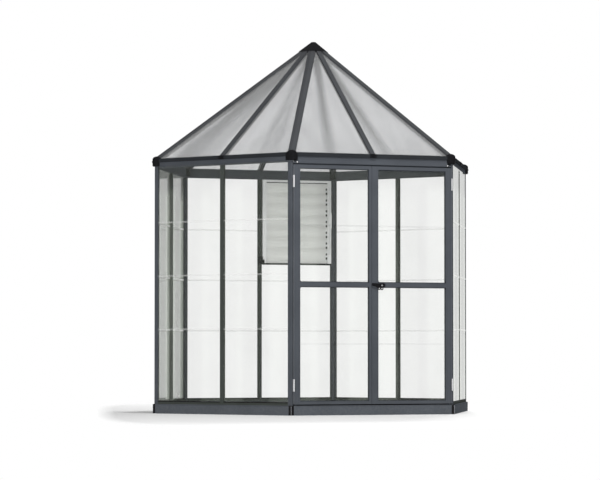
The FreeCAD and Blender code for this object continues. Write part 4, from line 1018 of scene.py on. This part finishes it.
@dataclass
class DoorLever:
    """The black turning handle on the right leaf, its lock and its two padlock loops."""

    book: FinishBook
    pivot: Pair = (0.010, 0.884)
    back: float = -1.0585
    thickness: float = 0.0096
    outline: tuple[Pair, ...] = (
        (-0.026, 0.011), (-0.026, -0.005), (-0.010, -0.008), (0.006, -0.010), (0.016, -0.020),
        (0.064, -0.020), (0.072, -0.006), (0.072, 0.006), (0.064, 0.011),
    )
    bevel: float = 0.0032
    bevel_steps: int = 3
    spindle_radius: float = 0.0039
    spindle_length: float = 0.0302
    spindle_sink: float = 0.002
    loops_at: tuple[Pair, ...] = ((0.0385, 0.8595), (0.0575, 0.8595))
    loop_radius: float = 0.0074
    loop_wire: float = 0.0034
    lock_at: Pair = (0.056, 0.881)
    lock_profile: tuple[Pair, ...] = (
        (0.0, -0.0014), (0.0026, -0.0014), (0.0026, -0.0006), (0.0032, -0.0006), (0.0034, -0.0018),
        (0.0042, -0.002), (0.0048, -0.001), (0.0048, 0.001),
    )
    slit_half: Pair = (0.0006, 0.003)
    slit_proud: Pair = (0.0017, 0.0012)
    slit_bevel: float = 0.0002

    def build(self) -> None:
        """Make the lever, lock and loops."""
        self.make_lever()
        self.make_lock()

    def make_lever(self) -> None:
        """Make the lever with its spindle and loops, which replaces the plain handle."""
        x, z = self.pivot
        work = MeshWork()
        corners = [(x + dx, self.back, z + dz) for dx, dz in self.outline]
        work.prism(corners, (0.0, -self.thickness, 0.0), self.bevel, self.bevel_steps)
        spindle = [(0.0, 0.0), (self.spindle_radius, 0.0), (self.spindle_radius, self.spindle_length),
                   (0.0, self.spindle_length)]
        work.lathe(spindle, (x, self.back - self.spindle_sink, z), INWARD)
        for loop_x, loop_z in self.loops_at:
            centre = (loop_x, self.back - self.thickness / 2, loop_z)
            work.loop(centre, INWARD, self.loop_radius, self.loop_wire)
        black = self.book.material(self.book.black)
        lever = work.finish("lever_with_loops", black, Body.HANDLE.value, Slot.BLACK)
        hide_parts("door_handle")

    def make_lock(self) -> None:
        """Make the lock cylinder and its key slit."""
        face = self.back - self.thickness
        x, z = self.lock_at
        lock = MeshWork()
        lock.lathe(self.lock_profile, (x, face, z), INWARD)
        lock.finish("lock_cylinder", self.book.material(self.book.steel), Body.HANDLE.value, Slot.STEEL)
        across, upright = self.slit_half
        front, back = (face - proud for proud in self.slit_proud)
        slit = MeshWork()
        slit.block((x - across, front, z - upright), (x + across, back, z + upright), self.slit_bevel)
        slit.finish("lock_key_slit", self.book.material(self.book.black), Body.HANDLE.value, Slot.BLACK)


@dataclass
class LeafTrim:
    """The seals, glazing beads and profile lines of one door leaf, the lines painted groove shade."""

    book: FinishBook
    body: Body
    side: int
    front: float = -1.0552
    pane_faces: Pair = (-1.0447, -1.0407)
    hinge_edge: float = 0.5867
    hinge_inner: float = 0.5417
    meeting_inner: float = 0.0345
    levels: tuple[Pair, ...] = ((0.095, 0.8685), (0.8995, 1.669))
    bottom: float = 0.074
    top: float = 1.692
    hinge_levels: Pair = (0.203, 1.58)
    hinge_half: float = 0.044
    bead_width: float = 0.0035
    bead_height: float = 0.004
    bead_lip: float = 0.001
    seal_width: float = 0.0026
    seal_depths: Pair = (0.0008, 0.009)
    seal_end: float = 0.004
    seal_bevel: float = 0.0007
    line: DrawnLine = DrawnLine()
    line_insets: Pair = (0.011, 0.034)
    line_end: float = 0.002

    def build(self) -> None:
        """Make the leaf's beads, seals and lines."""
        self.make_beads()
        self.make_hinge_seal()
        self.make_lines()

    def make_beads(self) -> None:
        """Make the glazing beads on both faces of the panes."""
        work = MeshWork()
        left, right = sorted((self.side * self.hinge_inner, self.side * self.meeting_inner))
        outer, inner = self.pane_faces
        beads = ((outer - self.bead_height, outer), (inner + self.bead_height, inner))
        for low, high in self.levels:
            for edge, pane in beads:
                work.surround((left, low), (right, high), self.bead_width, edge, pane, self.bead_lip)
        material = self.book.material(self.book.seal)
        work.finish(f"{self.body.value}_glazing_beads", material, self.body.value, Slot.BLACK)

    def make_hinge_seal(self) -> None:
        """Make the strip that closes the gap at the hinges, in lengths between the hinge knuckles."""
        work = MeshWork()
        edges = [self.bottom + self.seal_end]
        for level in self.hinge_levels:
            edges += [level - self.hinge_half, level + self.hinge_half]
        edges.append(self.top - self.seal_end)
        left, right = sorted((self.side * self.hinge_edge, self.side * (self.hinge_edge + self.seal_width)))
        front, back = (self.front + depth for depth in self.seal_depths)
        for low, high in zip(edges[::2], edges[1::2]):
            work.block((left, front, low), (right, back, high), self.seal_bevel)
        material = self.book.material(self.book.edge)
        work.finish(f"{self.body.value}_edge_seal", material, self.body.value, Slot.PROFILE)

    def make_lines(self) -> None:
        """Make the fine dark lines along the faces of the stiles, which paint the shade of grooves."""
        work = MeshWork()
        ends = (self.bottom + self.line_end, self.top - self.line_end)
        for inset in self.line_insets:
            self.line.add(work, self.side * (self.hinge_edge - inset), self.front, ends)
        material = self.book.material(self.book.line)
        work.finish(f"{self.body.value}_groove_shade_lines", material, self.body.value, Slot.PROFILE)


@dataclass
class MeetingTrim:
    """The dark strip in the gap between the leaves, and the lines along the wide meeting stile, both painted
    shade of the gap and grooves.
    """

    book: FinishBook
    front: float = -1.0552
    gap: Pair = (-0.0182, -0.0155)
    ends: Pair = (0.078, 1.688)
    seal_depths: Pair = (0.0008, 0.008)
    seal_bevel: float = 0.0007
    line: DrawnLine = DrawnLine()
    lines_at: Pair = (-0.008, 0.026)

    def build(self) -> None:
        """Make the strip and the lines, which move with the right leaf."""
        work = MeshWork()
        bottom, top = self.ends
        front, back = (self.front + depth for depth in self.seal_depths)
        work.block((self.gap[0], front, bottom), (self.gap[1], back, top), self.seal_bevel)
        for x in self.lines_at:
            self.line.add(work, x, self.front, self.ends)
        material = self.book.material(self.book.line)
        work.finish("meeting_gap_and_groove_shade", material, Body.RIGHT_DOOR.value, Slot.PROFILE)


@dataclass
class HeaderTrim:
    """The screwed brackets at both ends of the door header."""

    book: FinishBook
    face: float = -1.0462
    screw_at: Pair = (0.5600, 1.7085)
    screw_profile: tuple[Pair, ...] = (
        (0.0, -0.0038), (0.0025, -0.0036), (0.0042, -0.0028), (0.005, -0.0016), (0.005, -0.0012),
    )
    plate_half: Pair = (0.008, 0.0065)
    plate_depths: Pair = (-0.0015, 0.0002)
    plate_bevel: float = 0.0006

    def build(self) -> None:
        """Make the plates and their screws."""
        plates = MeshWork()
        screws = MeshWork()
        across, upright = self.plate_half
        front, back = (self.face + depth for depth in self.plate_depths)
        for side in (-1, 1):
            x, z = side * self.screw_at[0], self.screw_at[1]
            plates.block((x - across, front, z - upright), (x + across, back, z + upright), self.plate_bevel)
            screws.lathe(self.screw_profile, (x, self.face, z), INWARD)
        trim = self.book.material(self.book.trim)
        plates.finish("header_bracket_plates", trim, Body.FRAME.value, Slot.BLACK)
        metal = self.book.material(self.book.hinge)
        screws.finish("header_bracket_screws", metal, Body.FRAME.value, Slot.STEEL)


@dataclass
class CornerCaps:
    """The rounded black caps over the corners of the eaves, each with an arm along both of its beams."""

    book: FinishBook
    reach: float = 1.2185
    radius: float = 0.0345
    bottom: float = 1.722
    top: float = 1.7935
    foot_share: float = 0.88
    foot_rise: float = 0.004
    dome_share: float = 0.62
    dome_steps: int = 6
    facets: int = 36
    arm_half: float = 0.0426
    arm_depth: float = 0.0112
    arm_height: float = 0.053
    arm_inset: float = 0.004
    arm_taper: float = 0.85
    arm_bevel: float = 0.003
    arm_bevel_steps: int = 3

    def barrel(self) -> list[Pair]:
        """Draw the profile of a cap's barrel.

        Returns:
            Its radius and height, from the foot to the top of the dome.
        """
        shoulder = self.top - self.radius * self.dome_share
        profile = [(0.0, self.bottom), (self.radius * self.foot_share, self.bottom),
                   (self.radius, self.bottom + self.foot_rise)]
        for step in range(self.dome_steps):
            turn = math.radians(90 * step / self.dome_steps)
            profile.append((self.radius * math.cos(turn), shoulder + (self.top - shoulder) * math.sin(turn)))
        return [*profile, (0.0, self.top)]

    def arm(self, side: int) -> list[Point]:
        """Draw the outline of the arm along one of a cap's beams.

        Args:
            side: 1 for the beam on the right, -1 for the one on the left.

        Returns:
            The outline's corners.
        """
        end = side * self.arm_half
        inner = self.arm_inset - self.reach
        far = inner + self.arm_half * math.tan(math.radians(WALL_TURN / 2))
        return [(0.0, inner, self.bottom), (end, far, self.bottom),
                (end * self.arm_taper, far + self.arm_depth, self.bottom),
                (0.0, inner + self.arm_depth, self.bottom)]

    def build(self) -> None:
        """Make the six caps as one piece, which replaces the plain ones."""
        work = MeshWork()
        barrel = self.barrel()
        for wall in range(WALLS):
            work.frame = wall_frame(wall + 0.5)
            work.lathe(barrel, (0.0, self.radius - self.reach, 0.0), UP, self.facets)
            for side in (-1, 1):
                work.prism(self.arm(side), (0.0, 0.0, self.arm_height), self.arm_bevel, self.arm_bevel_steps)
        black = self.book.material(self.book.black)
        caps = work.finish("moulded_corner_caps", black, Body.FRAME.value, Slot.BLACK)
        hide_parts("eave_corner_caps")


@dataclass
class BaseTrim:
    """The ridge and flanges of each base corner connector, and the lip line along each base rail, a dark line
    of painted shade.
    """

    book: FinishBook
    corner: float = 1.215
    apothem: float = 1.0522
    half: float = 0.6075
    height: float = 0.066
    ridge_half: float = 0.0035
    ridge_proud: float = 0.0016
    ridge_sunk: float = 0.004
    ridge_end: float = 0.004
    ridge_bevel: float = 0.0008
    flange_insets: Pair = (0.0155, 0.021)
    flange_depths: Pair = (-0.0006, 0.001)
    flange_bottom: float = 0.002
    flange_bevel: float = 0.0004
    line_end: float = 0.03
    line_depths: Pair = (-0.0004, 0.0004)
    line_drops: Pair = (0.0065, 0.0045)
    line_bevel: float = 0.0003

    def build(self) -> None:
        """Make the ridges, the flanges and the rail lines."""
        self.make_ridges()
        self.make_flanges()
        self.make_lines()

    def make_ridges(self) -> None:
        """Make the upright ridge on each corner."""
        work = MeshWork()
        back, front = self.ridge_sunk - self.corner, -self.corner - self.ridge_proud
        outline = [(-self.ridge_half, back, self.ridge_end), (0.0, front, self.ridge_end),
                   (self.ridge_half, back, self.ridge_end)]
        for wall in range(WALLS):
            work.frame = wall_frame(wall + 0.5)
            work.prism(outline, (0.0, 0.0, self.height - 2 * self.ridge_end), self.ridge_bevel)
        material = self.book.material(self.book.ridge)
        work.finish("base_corner_ridges", material, Body.FRAME.value, Slot.PROFILE)

    def make_flanges(self) -> None:
        """Make the upright flanges where the corner connectors meet the rails."""
        work = MeshWork()
        front, back = (depth - self.apothem for depth in self.flange_depths)
        for wall in range(WALLS):
            work.frame = wall_frame(wall)
            for side in (-1, 1):
                left, right = sorted(side * (self.half - inset) for inset in self.flange_insets)
                work.block((left, front, self.flange_bottom), (right, back, self.height), self.flange_bevel)
        black = self.book.material(self.book.black)
        work.finish("base_corner_flanges", black, Body.FRAME.value, Slot.BLACK)

    def make_lines(self) -> None:
        """Make the lip line along the top of each rail, a dark line of painted shade."""
        work = MeshWork()
        reach = self.half - self.line_end
        front, back = (depth - self.apothem for depth in self.line_depths)
        low, high = (self.height - drop for drop in self.line_drops)
        for wall in range(WALLS):
            work.frame = wall_frame(wall)
            work.block((-reach, front, low), (reach, back, high), self.line_bevel)
        material = self.book.material(self.book.line)
        work.finish("base_rail_lip_shade", material, Body.FRAME.value, Slot.PROFILE)


@dataclass
class SillShadowSeals:
    """The black glazing seals along the tops of the five sill rails, on both faces of the panes, whose black
    paints the shadow line along the sills.
    """

    book: FinishBook
    apothem: float = 1.0422
    ends: Pair = (0.0165, 0.571)
    levels: Pair = (0.0815, 0.0885)
    outer_depths: Pair = (-0.0004, 0.0018)
    inner_depths: Pair = (0.0066, 0.0246)
    bevel: float = 0.0007

    def build(self) -> None:
        """Make the seals as one piece."""
        work = MeshWork()
        low, high = self.levels
        for wall in range(1, WALLS):
            work.frame = wall_frame(wall)
            for side in (-1, 1):
                left, right = sorted(side * end for end in self.ends)
                for depths in (self.outer_depths, self.inner_depths):
                    front, back = (depth - self.apothem for depth in depths)
                    work.block((left, front, low), (right, back, high), self.bevel)
        # Black paints the shadow line along the tops of the sills.
        black = self.book.material(self.book.black)
        work.finish("sill_shadow_seals", black, Body.FRAME.value, Slot.BLACK)


@dataclass
class LouvreTrim:
    """The black lock tabs of the blades, the seals along head and sill, and the catch beside the sill."""

    book: FinishBook
    blades: int = 7
    tab_width: float = 0.011
    tab_height: float = 0.017
    tab_depths: Pair = (-0.0085, -0.0045)
    tab_lifts: Pair = (-0.019, 0.012)
    tab_gap: float = 0.0008
    tab_bevel: float = 0.0015
    head_seal_end: float = 0.002
    head_seal_depths: Pair = (-0.001, 0.006)
    head_seal_half: float = 0.003
    head_seal_bevel: float = 0.0012
    sill_seal_end: float = 0.0005
    sill_seal_depths: Pair = (-0.001, 0.004)
    sill_seal_drops: Pair = (0.001, 0.002)
    sill_seal_bevel: float = 0.001
    post_face: float = 1.0162
    catch_plate: Box = ((-0.024, -0.012, 0.002), (0.016, 0.001, 0.06))
    catch_plate_bevel: float = 0.004
    catch_nose: Box = ((0.012, -0.01, -0.001), (0.028, -0.001, 0.036))
    catch_nose_bevel: float = 0.003
    catch_bevel_steps: int = 3

    def build(self) -> None:
        """Make the tabs, the seals and the catch."""
        for count in range(1, self.blades + 1):
            self.make_tabs(f"louvre_blade_{count}", f"blade_{count}_lock_tabs")
        self.make_seals_and_catch()

    def make_tabs(self, blade: str, name: str) -> None:
        """Make the two lock tabs of a blade, just clear of the link bar.

        Args:
            blade: The blade's node and body.
            name: The new piece's name.
        """
        low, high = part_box(blade)
        middle = (low + high) / 2
        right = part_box("louvre_link_bar")[0].x - self.tab_gap
        front, back = (middle.y + depth for depth in self.tab_depths)
        work = MeshWork()
        for lift in self.tab_lifts:
            bottom = middle.z + lift - self.tab_height / 2
            work.block((right - self.tab_width, front, bottom), (right, back, bottom + self.tab_height),
                       self.tab_bevel)
        work.finish(name, self.book.material(self.book.black), blade, Slot.BLACK)

    def make_seals_and_catch(self) -> None:
        """Make the seals along the head and the sill, and the catch on the post at the sill's height."""
        work = MeshWork()
        low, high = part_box("louvre_head")
        front, back = (low.y + depth for depth in self.head_seal_depths)
        work.block((low.x + self.head_seal_end, front, low.z - self.head_seal_half),
                   (high.x - self.head_seal_end, back, low.z + self.head_seal_half), self.head_seal_bevel)
        low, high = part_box("louvre_sill")
        left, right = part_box("louvre_jambs")
        front, back = (low.y + depth for depth in self.sill_seal_depths)
        bottom, top = low.z - self.sill_seal_drops[0], high.z - self.sill_seal_drops[1]
        work.block((left.x + self.sill_seal_end, front, bottom), (right.x - self.sill_seal_end, back, top),
                   self.sill_seal_bevel)
        post = Vector((0.0, self.post_face, low.z))
        catch = ((self.catch_plate, self.catch_plate_bevel), (self.catch_nose, self.catch_nose_bevel))
        for (near, far), bevel in catch:
            work.block(post + Vector(near), post + Vector(far), bevel, self.catch_bevel_steps)
        black = self.book.material(self.book.black)
        work.finish("louvre_seals_and_catch", black, Body.FRAME.value, Slot.BLACK)


def main() -> None:
    """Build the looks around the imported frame."""
    logging.basicConfig(level=logging.INFO)
    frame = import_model()
    Studio().build()
    book = FinishBook(SharedEffects())
    book.dress(frame["nodes"])
    assemblies = [
        DoorLever(book), LeafTrim(book, Body.LEFT_DOOR, -1), LeafTrim(book, Body.RIGHT_DOOR, 1),
        MeetingTrim(book), HeaderTrim(book), CornerCaps(book), BaseTrim(book), SillShadowSeals(book),
        LouvreTrim(book),
    ]
    for assembly in assemblies:
        assembly.build()


if __name__ == "__main__":
    main()
